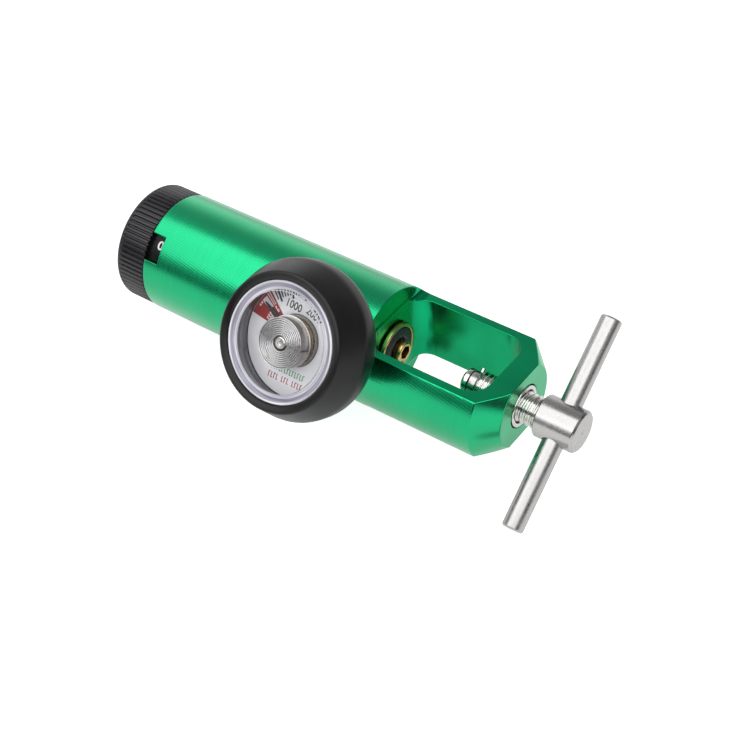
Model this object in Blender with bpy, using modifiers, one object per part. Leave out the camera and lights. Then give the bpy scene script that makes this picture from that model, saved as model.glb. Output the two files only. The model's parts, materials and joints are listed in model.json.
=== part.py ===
"""Oxygen flow regulator with a yoke for a small cylinder's post valve.

Lengths are in millimetres and are turned into metres by MM.
X runs along the body towards the tee handle, with X = 0 at the seat wall that the valve presses on.
Z is square to the yoke's two flats. The gauge faces -Y and up.
"""
import math

import bmesh
import bpy
from mathutils import Matrix

MM = 0.001
FIT = 0.3          # gap left between pieces that touch

# Body and yoke
BODY_R = 19.0
BODY_LEFT = -81.8
BODY_RIGHT = 44.8
NOSE_CHAMFER = 6.4
FLAT_HALF = 10.55
STEP_X = -0.3
STEP_FILLET = 3.0
SLOT_END = 37.8
SLOT_HALF = 13.1
SLOT_CORNER = 6.0
BORE_R = 15.5
BORE_FLOOR = -21.0
DRUM_BORE_R = 17.3
DRUM_BORE_X = -74.0
FEED_R = 1.5
VENT_X = -33.0
VENT_DEG = 250.0

# Window over the numbered drum
WINDOW_DEPTH = 5.3
WINDOW_FROM_DEG = 26.6
WINDOW_TO_DEG = 53.0

# Inlet
NIPPLE_R = 3.1
NIPPLE_TIP = 4.2
NIPPLE_HEAD_BACK = 2.9
NIPPLE_SHANK_R = 2.8
NIPPLE_BORE_R = 1.2
NIPPLE_THREAD_R = 4.0
NIPPLE_BACK = -9.0
NIPPLE_HEX_R = 2.3
FILTER_TOP = -1.5
FILTER_BORE_R = 2.0
SEAL_BACK = 0.5
SEAL_RING_FACE = 1.75
SEAL_LIP = 2.15
SEAL_OUTER_R = 8.35
SEAL_RING_R = 7.1
SEAL_RUBBER_R = 6.8
SEAL_BORE_R = 3.6
INDEX_RADIUS = 14.3
INDEX_DEG = 18.0
INDEX_PIN_R = 2.0
INDEX_PIN_TIP = 5.8
INDEX_PIN_BACK = -6.0

# Clamp screw and tee handle
SCREW_R = 4.65
INSERT_R = 6.5
INSERT_BORE_R = 5.0
INSERT_LIP = 0.3
TIP_FACE = 25.0
TIP_BACK = 27.45
TIP_R = 4.1
TIP_CAVITY_R = 2.5
HEAD_R = 2.2
SPIGOT_R = 1.6
NECK_FROM = 27.75
NECK_TO = 30.0
STOP_PIN_X = 28.9
STOP_PIN_R = 0.6
STOP_PIN_HALF = 5.2
HUB_FROM = 50.95
HUB_TO = 63.65
HUB_R = 6.4
HUB_BEVEL = 0.75
TEE_X = 57.1
TEE_R = 3.2
TEE_HALF = 32.5
TEE_BEVEL = 0.55
TEE_DEG = 140.9

# Gauge: distances along its own axis, out from the body's axis
GAUGE_X = -12.25
GAUGE_DEG = 32.0
GAUGE_STEM_R = 4.9
GAUGE_STEM_FROM = 9.5
GAUGE_STEM_TOP = 30.6
GAUGE_SEAT = 18.3
GAUGE_SPOT_R = 8.2
GAUGE_HEX_R = 7.3
GAUGE_HEX_HIGH = 4.2
BOOT_BACK = 25.6
BOOT_LIP = 43.4
BOOT_R = 23.25
BOOT_WIDEST = 34.2
BOOT_EYE_R = 17.2
BOOT_BACK_HOLE_R = 6.0
CASE_R = 18.3
CASE_BACK = 26.9
CASE_TOP = 40.3
CASE_BORE_R = 16.7
DIAL_LEDGE = 33.3
DIAL_LEDGE_R = 15.4
DIAL_R = 16.4
DIAL_HOLE_R = 7.5
DIAL_FACE = 34.0
DIAL_THICK = 0.4
LENS_FLANGE_R = 18.1
LENS_FLANGE_TOP = 41.8
LENS_TOP = 43.5
LENS_DROP = 0.6
LENS_THICK = 0.9
LENS_SKIRT_R = 16.3
LENS_SKIRT_FOOT = 38.4
COIL_FROM = 38.3
COIL_TO = 42.0
COIL_R = 7.3
COIL_EYE_R = 2.1
COIL_TURNS = 8
COIL_THICK = 0.42
CUP_R = 6.4
CUP_WALL = 0.5
CUP_FLOOR = 31.2
CUP_TOP = 38.0
POST_R = 1.7
POINTER_FACE = 34.5
POINTER_THICK = 0.4
POINTER_RING_R = 7.4
POINTER_BORE_R = 6.8
POINTER_ROOT_HALF = 0.85
POINTER_TIP_R = 14.6
POINTER_ZERO_DEG = 151.3

# Flow selector
KNOB_R = 18.85
KNOB_RIGHT = -82.1
KNOB_LEFT = -93.2
KNOB_BAND = -91.6
KNOB_ROUND = 1.8
RIB_COUNT = 72
RIB_DEPTH = 0.45
RIB_GROOVE = 0.8
DRUM_R = 16.9
DRUM_RIGHT = -74.5
DRUM_WALL = 1.3
DRUM_FLOOR = -86.0
BOSS_R = 12.0
BOSS_RIGHT = -69.8
SHAFT_R = 2.8
SHAFT_RIGHT = -52.0
SHAFT_LEFT = -84.2
SHAFT_TAP_END = -76.0
KNOB_SCREW_R = 1.6
KNOB_SCREW_END = -78.0
KNOB_SCREW_HEAD_R = 3.8
KNOB_SCREW_HEAD = -88.3
KNOB_SCREW_TOP = -91.1
KNOB_SCREW_HEX_R = 1.7
HEAD_WELL_R = 4.2
SCREW_PASS_R = 2.3
CAP_R = 9.3
CAP_THICK = 1.5
CLICKS = 12
CLICK_RADIUS = 10.0
CLICK_HOLLOW_R = 1.5
BALL_R = 1.2
BALL_X = -69.1
METER_RADIUS = 8.0
METER_R = 0.45
METER_GROWTH = 0.03

# Pieces in the main bore, from the seat outwards
CORE_R = 15.1
NOZZLE_RIGHT = -21.3
NOZZLE_LEFT = -27.3
NOZZLE_R = 0.8
PISTON_TIP = -23.9
PISTON_TRAVEL_GAP = 0.8
PISTON_HEAD_RIGHT = -39.0
PISTON_HEAD_LEFT = -44.0
PISTON_STEM_R = 3.0
PISTON_SEAT_DEEP = 1.1
SPRING_R = 6.0
SPRING_WIRE_R = 0.65
SPRING_TURNS = 4.5
PLUG_RIGHT = -46.8
PLUG_LEFT = -60.2
PLUG_POCKET = -51.5
RING_INSET = 1.5
GROOVE_R = 13.6
GROOVE_HALF = 0.95
RING_R = 14.45
RING_SECTION_R = 0.6
DISC_RIGHT = -60.6
DISC_LEFT = -62.6
DISC_R = 12.5
WASHER_RIGHT = -63.0
WASHER_LEFT = -63.8
WASHER_R = 8.0
PLATE_RIGHT = -64.2
PLATE_LEFT = -68.2
PLATE_BORE_R = 4.4
SET_SCREW_R = 1.5
SET_SCREW_LENGTH = 2.8

# Outlet on the side away from the gauge
OUTLET_X = -53.5
OUTLET_THREAD_R = 3.4
OUTLET_THREAD_FROM = 10.0
OUTLET_SEAT = 18.2
OUTLET_SPOT_R = 7.2
OUTLET_HEX_R = 6.4
OUTLET_HEX_HIGH = 4.3
OUTLET_TIP = 38.5
OUTLET_BORE_R = 1.6
BARB_ROOT_R = 2.5
BARB_CREST_R = 3.35
BARB_PITCH = 4.0
BARB_RIDGES = 3

BODY_STEPS = 56
OUTER_STEPS = 40
INNER_STEPS = 28
SMALL_STEPS = 16
TINY_STEPS = 10

COLOURS = {
    "green_anodised": ((0.0, 0.30, 0.13, 1.0), 0.30, 1.0),
    "black_rubber": ((0.012, 0.012, 0.014, 1.0), 0.60, 0.0),
    "black_plastic": ((0.018, 0.018, 0.022, 1.0), 0.42, 0.0),
    "stainless": ((0.62, 0.60, 0.58, 1.0), 0.28, 1.0),
    "brass": ((0.68, 0.47, 0.18, 1.0), 0.30, 1.0),
    "sintered_bronze": ((0.38, 0.25, 0.12, 1.0), 0.75, 1.0),
    "white_enamel": ((0.86, 0.86, 0.87, 1.0), 0.45, 0.0),
    "clear_polycarbonate": ((0.90, 0.92, 0.95, 0.35), 0.06, 0.0),
    "nylon": ((0.80, 0.78, 0.70, 1.0), 0.5, 0.0),
}


def clear_scene():
    for obj in list(bpy.data.objects):
        bpy.data.objects.remove(obj, do_unlink=True)


def make_collection(name):
    group = bpy.data.collections.new(name)
    bpy.context.scene.collection.children.link(group)
    return group


clear_scene()
PARTS = make_collection("oxygen_flow_regulator")
CUTTERS = make_collection("regulator_cutters")


def material(name):
    """Return the named material, making it on first use."""
    found = bpy.data.materials.get(name)
    if found:
        return found
    colour, roughness, metallic = COLOURS[name]
    made = bpy.data.materials.new(name)
    made.use_nodes = True
    shader = made.node_tree.nodes["Principled BSDF"]
    shader.inputs["Base Color"].default_value = colour
    shader.inputs["Roughness"].default_value = roughness
    shader.inputs["Metallic"].default_value = metallic
    shader.inputs["Alpha"].default_value = colour[3]
    made.diffuse_color = colour
    return made


def empty_frame(name, place, turn=(0.0, 0.0, 0.0)):
    """An empty that carries pieces drawn in its own frame, with Z along their axis."""
    guide = bpy.data.objects.new(name, None)
    guide.empty_display_size = 5 * MM
    guide.location = [value * MM for value in place]
    guide.rotation_euler = turn
    PARTS.objects.link(guide)
    return guide


def across_body(name, along_x, degrees):
    """A frame on the body's axis with Z square to it, at an angle from -Y towards +Z."""
    return empty_frame(name, (along_x, 0.0, 0.0), (math.radians(90.0 - degrees), 0.0, 0.0))


ALONG_X = (0.0, math.radians(90.0), 0.0)
WORLD_FRAME = empty_frame("seat_centre", (0.0, 0.0, 0.0))
BODY_FRAME = empty_frame("body_axis", (0.0, 0.0, 0.0), ALONG_X)
TIP_FRAME = empty_frame("clamp_travel_axis", (0.0, 0.0, 0.0), ALONG_X)
SCREW_FRAME = empty_frame("screw_turn_axis", (0.0, 0.0, 0.0), ALONG_X)
KNOB_FRAME = empty_frame("knob_turn_axis", (0.0, 0.0, 0.0), ALONG_X)
PISTON_FRAME = empty_frame("piston_lift_axis", (0.0, 0.0, 0.0), ALONG_X)
BALL_FRAME = empty_frame("ball_press_axis", (0.0, 0.0, -CLICK_RADIUS), ALONG_X)
GAUGE_FRAME = across_body("gauge_axis", GAUGE_X, GAUGE_DEG)
POINTER_FRAME = across_body("pointer_sweep_axis", GAUGE_X, GAUGE_DEG)
OUTLET_FRAME = across_body("outlet_axis", OUTLET_X, GAUGE_DEG + 180.0)
STOP_FRAME = across_body("stop_pin_axis", STOP_PIN_X, TEE_DEG)
TEE_FRAME = across_body("tee_bar_axis", TEE_X, TEE_DEG)
SET_SCREW_FRAME = across_body("set_screw_axis", (PLATE_RIGHT + PLATE_LEFT) / 2,
                              GAUGE_DEG + 180.0)


def place_mesh(name, shape, look, frame):
    """Wrap a bmesh as an object in the given frame. With no look it is a cutter."""
    mesh = bpy.data.meshes.new(name)
    shape.to_mesh(mesh)
    shape.free()
    obj = bpy.data.objects.new(name, mesh)
    obj.parent = frame
    if look:
        mesh.materials.append(material(look))
        PARTS.objects.link(obj)
    else:
        CUTTERS.objects.link(obj)
        obj.hide_render = True
        obj.display_type = 'WIRE'
    return obj


def smooth(obj, angle=32.0):
    obj.data.shade_smooth()
    obj.data.set_sharp_from_angle(angle=math.radians(angle))


def turned(name, profile, look, frame, steps=INNER_STEPS):
    """Turn a profile of (along, radius) points about the frame's Z.

    The profile runs from the top down the outer side, and back up the bore if there is one.
    """
    shape = bmesh.new()
    rim = [shape.verts.new((radius * MM, 0.0, along * MM)) for along, radius in profile]
    pairs = list(zip(rim, rim[1:]))
    if profile[0][1] > 0.0:
        pairs.append((rim[-1], rim[0]))
    for first, second in pairs:
        if first.co.x > 0.0 or second.co.x > 0.0:
            shape.edges.new((first, second))
    obj = place_mesh(name, shape, look, frame)
    turn = obj.modifiers.new("turn", 'SCREW')
    turn.axis = 'Z'
    turn.steps = steps
    turn.render_steps = steps
    turn.use_merge_vertices = True
    turn.merge_threshold = 0.00001
    return obj


def rod(name, frame, low, high, radius, place=(0.0, 0.0), steps=SMALL_STEPS, look=None):
    """A round or hexagonal bar along the frame's Z, by default a cutter."""
    shape = bmesh.new()
    middle = Matrix.Translation((place[0] * MM, place[1] * MM, (low + high) / 2 * MM))
    bmesh.ops.create_cone(shape, cap_ends=True, segments=steps, radius1=radius * MM,
                          radius2=radius * MM, depth=(high - low) * MM, matrix=middle)
    return place_mesh(name, shape, look, frame)


def block(name, frame, low, high, round_r=0.0, is_rounded=None, round_steps=6):
    """A box cutter between two corners, with the edges that is_rounded picks made round."""
    shape = bmesh.new()
    size = [(high[axis] - low[axis]) * MM for axis in range(3)]
    centre = [(high[axis] + low[axis]) / 2 * MM for axis in range(3)]
    bmesh.ops.create_cube(shape, size=1.0,
                          matrix=Matrix.Translation(centre) @ Matrix.Diagonal((*size, 1.0)))
    if is_rounded:
        picked = [edge for edge in shape.edges if is_rounded(edge)]
        bmesh.ops.bevel(shape, geom=picked, offset=round_r * MM, segments=round_steps,
                        profile=0.5, affect='EDGES')
    return place_mesh(name, shape, None, frame)


def add_boolean(obj, tool, operation):
    step = obj.modifiers.new(tool.name, 'BOOLEAN')
    step.operation = operation
    step.solver = 'EXACT'
    step.object = tool


def cut(obj, tool):
    add_boolean(obj, tool, 'DIFFERENCE')


def join(obj, tool):
    add_boolean(obj, tool, 'UNION')


def arc(centre, radius, start_deg, end_deg, pieces):
    """Points (along, radius) on a round edge, by the angle from the outward direction."""
    points = []
    for index in range(pieces + 1):
        angle = math.radians(start_deg + (end_deg - start_deg) * index / pieces)
        points.append((centre[0] + radius * math.sin(angle),
                       centre[1] + radius * math.cos(angle)))
    return points


def coil_spring(name, radius, wire_r, low, high, turns, per_turn, frame):
    """A round coil along the frame's Z."""
    curve = bpy.data.curves.new(name, 'CURVE')
    curve.dimensions = '3D'
    curve.bevel_depth = wire_r * MM
    curve.bevel_resolution = 1
    curve.use_fill_caps = True
    count = int(turns * per_turn)
    spline = curve.splines.new('POLY')
    spline.points.add(count)
    spline.use_smooth = True
    for index, point in enumerate(spline.points):
        angle = 2.0 * math.pi * turns * index / count
        rise = low + (high - low) * index / count
        point.co = (radius * math.cos(angle) * MM, radius * math.sin(angle) * MM, rise * MM, 1.0)
    curve.materials.append(material("stainless"))
    obj = bpy.data.objects.new(name, curve)
    obj.parent = frame
    PARTS.objects.link(obj)
    return obj


def sealing_ring(name, along, frame):
    """A rubber ring of round section in a groove, as a six-sided section."""
    ring = turned(name, arc((along, RING_R), RING_SECTION_R, 90.0, -210.0, 5), "black_rubber",
                  frame)
    smooth(ring, 65.0)


def is_upright(edge):
    """True for an edge of a box that runs along Z."""
    first, second = edge.verts
    return abs(first.co.x - second.co.x) + abs(first.co.y - second.co.y) < MM / 10


def is_fillet_edge(edge):
    """True for the edge of a flat's cutter that lies in the corner of the step."""
    ends = [vert.co for vert in edge.verts]
    on_step = all(abs(end.x - STEP_X * MM) < MM / 10 for end in ends)
    on_flat = all(abs(end.z - FLAT_HALF * MM) < MM / 10 for end in ends)
    return on_step and on_flat


def index_pin_places():
    """Each pin's label and its place across the body axis, in the body frame."""
    angle = math.radians(INDEX_DEG)
    down = INDEX_RADIUS * math.cos(angle)
    across = INDEX_RADIUS * math.sin(angle)
    return (("a", (down, across)), ("b", (down, -across)))


def build_body():
    """The one-piece body: tube, solid middle, and yoke with its slot, flats and coned end."""
    thread_room = NIPPLE_THREAD_R + FIT
    insert_room = INSERT_R + FIT
    body = turned("yoke_body", [
        (BODY_RIGHT, BODY_R - NOSE_CHAMFER), (BODY_RIGHT - NOSE_CHAMFER, BODY_R),
        (BODY_LEFT + 0.3, BODY_R), (BODY_LEFT, BODY_R - 0.3), (BODY_LEFT, DRUM_BORE_R),
        (DRUM_BORE_X, DRUM_BORE_R), (DRUM_BORE_X, BORE_R), (BORE_FLOOR, BORE_R),
        (BORE_FLOOR, FEED_R), (NIPPLE_BACK - FIT, FEED_R), (NIPPLE_BACK - FIT, thread_room),
        (SLOT_END / 2, thread_room), (SLOT_END / 2, insert_room), (BODY_RIGHT, insert_room)],
        "green_anodised", BODY_FRAME, steps=BODY_STEPS)

    past = BODY_R + 4.0
    cut(body, block("slot_cutter", WORLD_FRAME, (0.0, -SLOT_HALF, -past),
                    (SLOT_END, SLOT_HALF, past), SLOT_CORNER, is_upright))
    for turn, side in ((0.0, "top"), (180.0, "bottom")):
        side_frame = empty_frame("flat_frame_" + side, (0.0, 0.0, 0.0),
                                 (math.radians(turn), 0.0, 0.0))
        cut(body, block("flat_cutter_" + side, side_frame, (STEP_X, -past, FLAT_HALF),
                        (BODY_RIGHT + 4.0, past, past), STEP_FILLET, is_fillet_edge))

    window_frame = across_body("window_axis", BODY_LEFT, (WINDOW_FROM_DEG + WINDOW_TO_DEG) / 2)
    half = BODY_R * math.sin(math.radians((WINDOW_TO_DEG - WINDOW_FROM_DEG) / 2))
    cut(body, block("window_cutter", window_frame, (-4.0, -half, BORE_R - 3.0),
                    (WINDOW_DEPTH, half, past)))

    cut(body, rod("gauge_port_cutter", GAUGE_FRAME, 9.0, past, GAUGE_STEM_R + FIT, steps=24))
    cut(body, rod("gauge_spot_cutter", GAUGE_FRAME, GAUGE_SEAT - FIT, past, GAUGE_SPOT_R,
                  steps=32))
    cut(body, rod("gauge_feed_cutter", GAUGE_FRAME, 0.4, 10.0, 1.0, steps=TINY_STEPS))
    cut(body, rod("outlet_port_cutter", OUTLET_FRAME, 12.0, past, OUTLET_THREAD_R + FIT))
    cut(body, rod("outlet_spot_cutter", OUTLET_FRAME, OUTLET_SEAT - FIT, past, OUTLET_SPOT_R,
                  steps=24))
    cut(body, rod("vent_cutter", across_body("vent_axis", VENT_X, VENT_DEG), 12.0, past, 0.8,
                  steps=TINY_STEPS))
    cut(body, rod("set_screw_cutter", SET_SCREW_FRAME, 12.0, past, SET_SCREW_R + FIT, steps=12))
    for side, place in index_pin_places():
        cut(body, rod("index_hole_" + side, BODY_FRAME, INDEX_PIN_BACK - FIT, 2.0,
                      INDEX_PIN_R + FIT, place))
    smooth(body)


def build_inlet():
    """Nipple with its filter, the bonded washer on it, and the two index pins."""
    bevel = 0.4
    shoulder = -0.5
    nipple = turned("inlet_nipple", [
        (NIPPLE_TIP, NIPPLE_BORE_R), (NIPPLE_TIP, NIPPLE_R - bevel),
        (NIPPLE_TIP - bevel, NIPPLE_R), (NIPPLE_HEAD_BACK, NIPPLE_R),
        (NIPPLE_HEAD_BACK - FIT, NIPPLE_SHANK_R), (shoulder + bevel, NIPPLE_SHANK_R),
        (shoulder, NIPPLE_THREAD_R), (NIPPLE_BACK, NIPPLE_THREAD_R),
        (NIPPLE_BACK, FILTER_BORE_R), (FILTER_TOP, FILTER_BORE_R), (FILTER_TOP, NIPPLE_BORE_R)],
        "brass", BODY_FRAME, steps=24)
    cut(nipple, rod("nipple_socket_cutter", BODY_FRAME, shoulder, NIPPLE_TIP + 2, NIPPLE_HEX_R,
                    steps=6))
    smooth(nipple)
    rod("inlet_filter", BODY_FRAME, NIPPLE_BACK + FIT, FILTER_TOP - FIT, FILTER_BORE_R - FIT,
        look="sintered_bronze")

    edge = 0.15
    ring = turned("seal_washer_ring", [
        (SEAL_RING_FACE, SEAL_RING_R), (SEAL_RING_FACE, SEAL_OUTER_R - edge),
        (SEAL_RING_FACE - edge, SEAL_OUTER_R), (SEAL_BACK + edge, SEAL_OUTER_R),
        (SEAL_BACK, SEAL_OUTER_R - edge), (SEAL_BACK, SEAL_RING_R)],
        "brass", BODY_FRAME, steps=32)
    inset = SEAL_RING_FACE - FIT
    rubber = turned("seal_washer_rubber", [
        (SEAL_LIP, SEAL_BORE_R + 2 * FIT), (SEAL_LIP, SEAL_BORE_R + 6 * FIT),
        (SEAL_RING_FACE, SEAL_RUBBER_R - FIT), (inset, SEAL_RUBBER_R),
        (SEAL_BACK + edge, SEAL_RUBBER_R), (SEAL_BACK + edge, SEAL_BORE_R),
        (inset, SEAL_BORE_R)], "black_rubber", BODY_FRAME, steps=32)
    smooth(ring)
    smooth(rubber)

    pin_bevel = 0.5
    for side, place in index_pin_places():
        frame = empty_frame("index_axis_" + side, (0.0, place[1], -place[0]), ALONG_X)
        pin = turned("index_pin_" + side, [
            (INDEX_PIN_TIP, 0.0), (INDEX_PIN_TIP, INDEX_PIN_R - pin_bevel),
            (INDEX_PIN_TIP - pin_bevel, INDEX_PIN_R), (INDEX_PIN_BACK, INDEX_PIN_R),
            (INDEX_PIN_BACK, 0.0)], "stainless", frame, steps=SMALL_STEPS)
        smooth(pin)


def build_clamp():
    """Thread insert, clamp screw turned with its hub, swivel tip, stop pin and tee bar."""
    lip = BODY_RIGHT + INSERT_LIP
    insert = turned("thread_insert", [
        (lip, INSERT_BORE_R + 0.4), (lip, INSERT_R - 0.45), (lip - 0.45, INSERT_R),
        (SLOT_END + FIT, INSERT_R), (SLOT_END + FIT, INSERT_BORE_R),
        (lip - 0.4, INSERT_BORE_R)], "stainless", BODY_FRAME, steps=32)
    smooth(insert)

    tip = turned("swivel_tip", [
        (TIP_BACK, SPIGOT_R + FIT), (TIP_BACK, TIP_R), (TIP_FACE + 1.1, TIP_R),
        (TIP_FACE, TIP_R - 1.5), (TIP_FACE, 0.0), (TIP_FACE + 0.7, 0.0),
        (TIP_FACE + 0.7, TIP_CAVITY_R), (TIP_BACK - 0.5, TIP_CAVITY_R),
        (TIP_BACK - 0.5, SPIGOT_R + FIT)], "stainless", TIP_FRAME)
    smooth(tip)

    head_top = TIP_BACK - 0.8
    screw = turned("clamp_screw", [
        (HUB_TO - 0.6, 0.0), (HUB_TO, 0.9), (HUB_TO, HUB_R - HUB_BEVEL),
        (HUB_TO - HUB_BEVEL, HUB_R), (HUB_FROM + 0.35, HUB_R), (HUB_FROM, HUB_R - 0.35),
        (HUB_FROM, SCREW_R), (NECK_TO + 0.5, SCREW_R), (NECK_TO, TIP_R - 0.1),
        (NECK_FROM, TIP_R - 0.1), (NECK_FROM, SPIGOT_R), (head_top, SPIGOT_R),
        (head_top, HEAD_R), (TIP_FACE + 1.0, HEAD_R), (TIP_FACE + 1.0, 0.0)],
        "stainless", SCREW_FRAME, steps=36)
    cut(screw, rod("stop_pin_cutter", STOP_FRAME, -8.0, 8.0, STOP_PIN_R + FIT, steps=12))
    cut(screw, rod("tee_bar_cutter", TEE_FRAME, -10.0, 10.0, TEE_R + FIT, steps=32))
    smooth(screw)

    rod("stop_pin", STOP_FRAME, -STOP_PIN_HALF, STOP_PIN_HALF, STOP_PIN_R, steps=12,
        look="stainless")
    bar = turned("tee_bar", [
        (TEE_HALF, 0.0), (TEE_HALF, TEE_R - TEE_BEVEL), (TEE_HALF - TEE_BEVEL, TEE_R),
        (TEE_BEVEL - TEE_HALF, TEE_R), (-TEE_HALF, TEE_R - TEE_BEVEL), (-TEE_HALF, 0.0)],
        "stainless", TEE_FRAME, steps=32)
    smooth(bar)


def build_pressure_stage():
    """Nozzle plate and the piston that shuts it, with its seat, ring and spring."""
    guide_r = PISTON_STEM_R + FIT
    guide_floor = PISTON_TIP + PISTON_TRAVEL_GAP
    nozzle = turned("nozzle_plate", [
        (NOZZLE_RIGHT, NOZZLE_R), (NOZZLE_RIGHT, CORE_R), (NOZZLE_LEFT, CORE_R),
        (NOZZLE_LEFT, guide_r), (guide_floor, guide_r), (guide_floor, NOZZLE_R)],
        "brass", BODY_FRAME)
    smooth(nozzle)

    groove = (PISTON_HEAD_RIGHT + PISTON_HEAD_LEFT) / 2
    seat_floor = PISTON_TIP - PISTON_SEAT_DEEP
    bore_end = seat_floor - 4.0
    piston = turned("piston", [
        (PISTON_TIP, 2.3), (PISTON_TIP, PISTON_STEM_R), (PISTON_HEAD_RIGHT, PISTON_STEM_R),
        (PISTON_HEAD_RIGHT, CORE_R), (groove + GROOVE_HALF, CORE_R),
        (groove + GROOVE_HALF, GROOVE_R), (groove - GROOVE_HALF, GROOVE_R),
        (groove - GROOVE_HALF, CORE_R), (PISTON_HEAD_LEFT, CORE_R), (PISTON_HEAD_LEFT, 0.9),
        (bore_end, 0.9), (bore_end, 0.0), (seat_floor, 0.0), (seat_floor, 2.3)],
        "brass", PISTON_FRAME)
    cross = across_body("piston_cross_axis", bore_end - 1.5, 90.0)
    cut(piston, rod("piston_cross_cutter", cross, -5.0, 5.0, 0.6, steps=TINY_STEPS))
    smooth(piston)
    rod("piston_seat", PISTON_FRAME, seat_floor + FIT, PISTON_TIP, 2.0, look="nylon")
    sealing_ring("piston_ring", groove, PISTON_FRAME)
    coil_spring("piston_spring", SPRING_R, SPRING_WIRE_R,
                PISTON_HEAD_RIGHT + SPRING_WIRE_R + PISTON_TRAVEL_GAP,
                NOZZLE_LEFT - SPRING_WIRE_R - FIT, SPRING_TURNS, 11, BODY_FRAME)


def build_plug():
    """The plug that closes the low-pressure chamber, with its two sealing rings."""
    grooves = (PLUG_RIGHT - RING_INSET, PLUG_LEFT + RING_INSET)
    profile = [(PLUG_RIGHT, 0.0), (PLUG_RIGHT, CORE_R)]
    for along in grooves:
        profile += [(along + GROOVE_HALF, CORE_R), (along + GROOVE_HALF, GROOVE_R),
                    (along - GROOVE_HALF, GROOVE_R), (along - GROOVE_HALF, CORE_R)]
    profile += [(PLUG_LEFT, CORE_R), (PLUG_LEFT, SHAFT_R + FIT), (PLUG_POCKET, SHAFT_R + FIT),
                (PLUG_POCKET, 0.0)]
    plug = turned("flow_plug", profile, "brass", BODY_FRAME)
    cut(plug, rod("outlet_thread_cutter", OUTLET_FRAME, 9.5, 18.0, OUTLET_THREAD_R + FIT))
    lean = math.radians(GAUGE_DEG)
    feed = (-METER_RADIUS * math.sin(lean), -METER_RADIUS * math.cos(lean))
    drain = (11.0 * math.sin(lean), 11.0 * math.cos(lean))
    cut(plug, rod("plug_feed_cutter", BODY_FRAME, PLUG_LEFT - 1, PLUG_RIGHT + 1, 1.2, feed,
                  steps=TINY_STEPS))
    cut(plug, rod("plug_drain_cutter", BODY_FRAME, PLUG_LEFT - 1, OUTLET_X, 1.0, drain,
                  steps=TINY_STEPS))
    smooth(plug)
    sealing_ring("plug_ring_front", grooves[0], BODY_FRAME)
    sealing_ring("plug_ring_rear", grooves[1], BODY_FRAME)


def build_selector():
    """Metering disc on its shaft, thrust washer, click plate with its set screw."""
    disc = turned("orifice_disc", [
        (DISC_RIGHT, SHAFT_R + FIT), (DISC_RIGHT, DISC_R), (DISC_LEFT, DISC_R),
        (DISC_LEFT, SHAFT_R + FIT)], "brass", KNOB_FRAME)
    blank = math.radians(270.0 - GAUGE_DEG)
    for step in range(1, CLICKS):
        angle = blank + 2.0 * math.pi * step / CLICKS
        place = (METER_RADIUS * math.cos(angle), METER_RADIUS * math.sin(angle))
        cut(disc, rod("meter_hole_%02d" % step, KNOB_FRAME, DISC_LEFT - 1, DISC_RIGHT + 1,
                      METER_R + METER_GROWTH * step, place, steps=8))
    smooth(disc)

    shaft = turned("selector_shaft", [
        (SHAFT_RIGHT, 0.0), (SHAFT_RIGHT, SHAFT_R), (SHAFT_LEFT, SHAFT_R),
        (SHAFT_LEFT, KNOB_SCREW_R + FIT), (SHAFT_TAP_END, KNOB_SCREW_R + FIT),
        (SHAFT_TAP_END, 0.0)], "stainless", KNOB_FRAME, steps=20)
    washer = turned("thrust_washer", [
        (WASHER_RIGHT, SHAFT_R + FIT), (WASHER_RIGHT, WASHER_R), (WASHER_LEFT, WASHER_R),
        (WASHER_LEFT, SHAFT_R + FIT)], "nylon", BODY_FRAME, steps=20)
    smooth(shaft)
    smooth(washer)

    plate = turned("click_plate", [
        (PLATE_RIGHT, PLATE_BORE_R), (PLATE_RIGHT, CORE_R), (PLATE_LEFT, CORE_R),
        (PLATE_LEFT, PLATE_BORE_R)], "stainless", BODY_FRAME)
    for step in range(CLICKS):
        angle = 2.0 * math.pi * step / CLICKS
        place = (CLICK_RADIUS * math.cos(angle) * MM, CLICK_RADIUS * math.sin(angle) * MM,
                 BALL_X * MM)
        hollow = bmesh.new()
        bmesh.ops.create_uvsphere(hollow, u_segments=8, v_segments=8,
                                  radius=CLICK_HOLLOW_R * MM, matrix=Matrix.Translation(place))
        cut(plate, place_mesh("click_hollow_%02d" % step, hollow, None, BODY_FRAME))
    smooth(plate)

    top = CORE_R + FIT + SET_SCREW_LENGTH
    screw = turned("plate_set_screw", [
        (top, 0.0), (top, SET_SCREW_R - 0.25), (top - 0.2, SET_SCREW_R),
        (CORE_R + FIT, SET_SCREW_R), (CORE_R + FIT, 0.0)],
        "stainless", SET_SCREW_FRAME, steps=SMALL_STEPS)
    cut(screw, rod("set_screw_socket", SET_SCREW_FRAME, top - SET_SCREW_LENGTH / 2, BODY_R,
                   SET_SCREW_R / 2, steps=6))
    smooth(screw)


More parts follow.
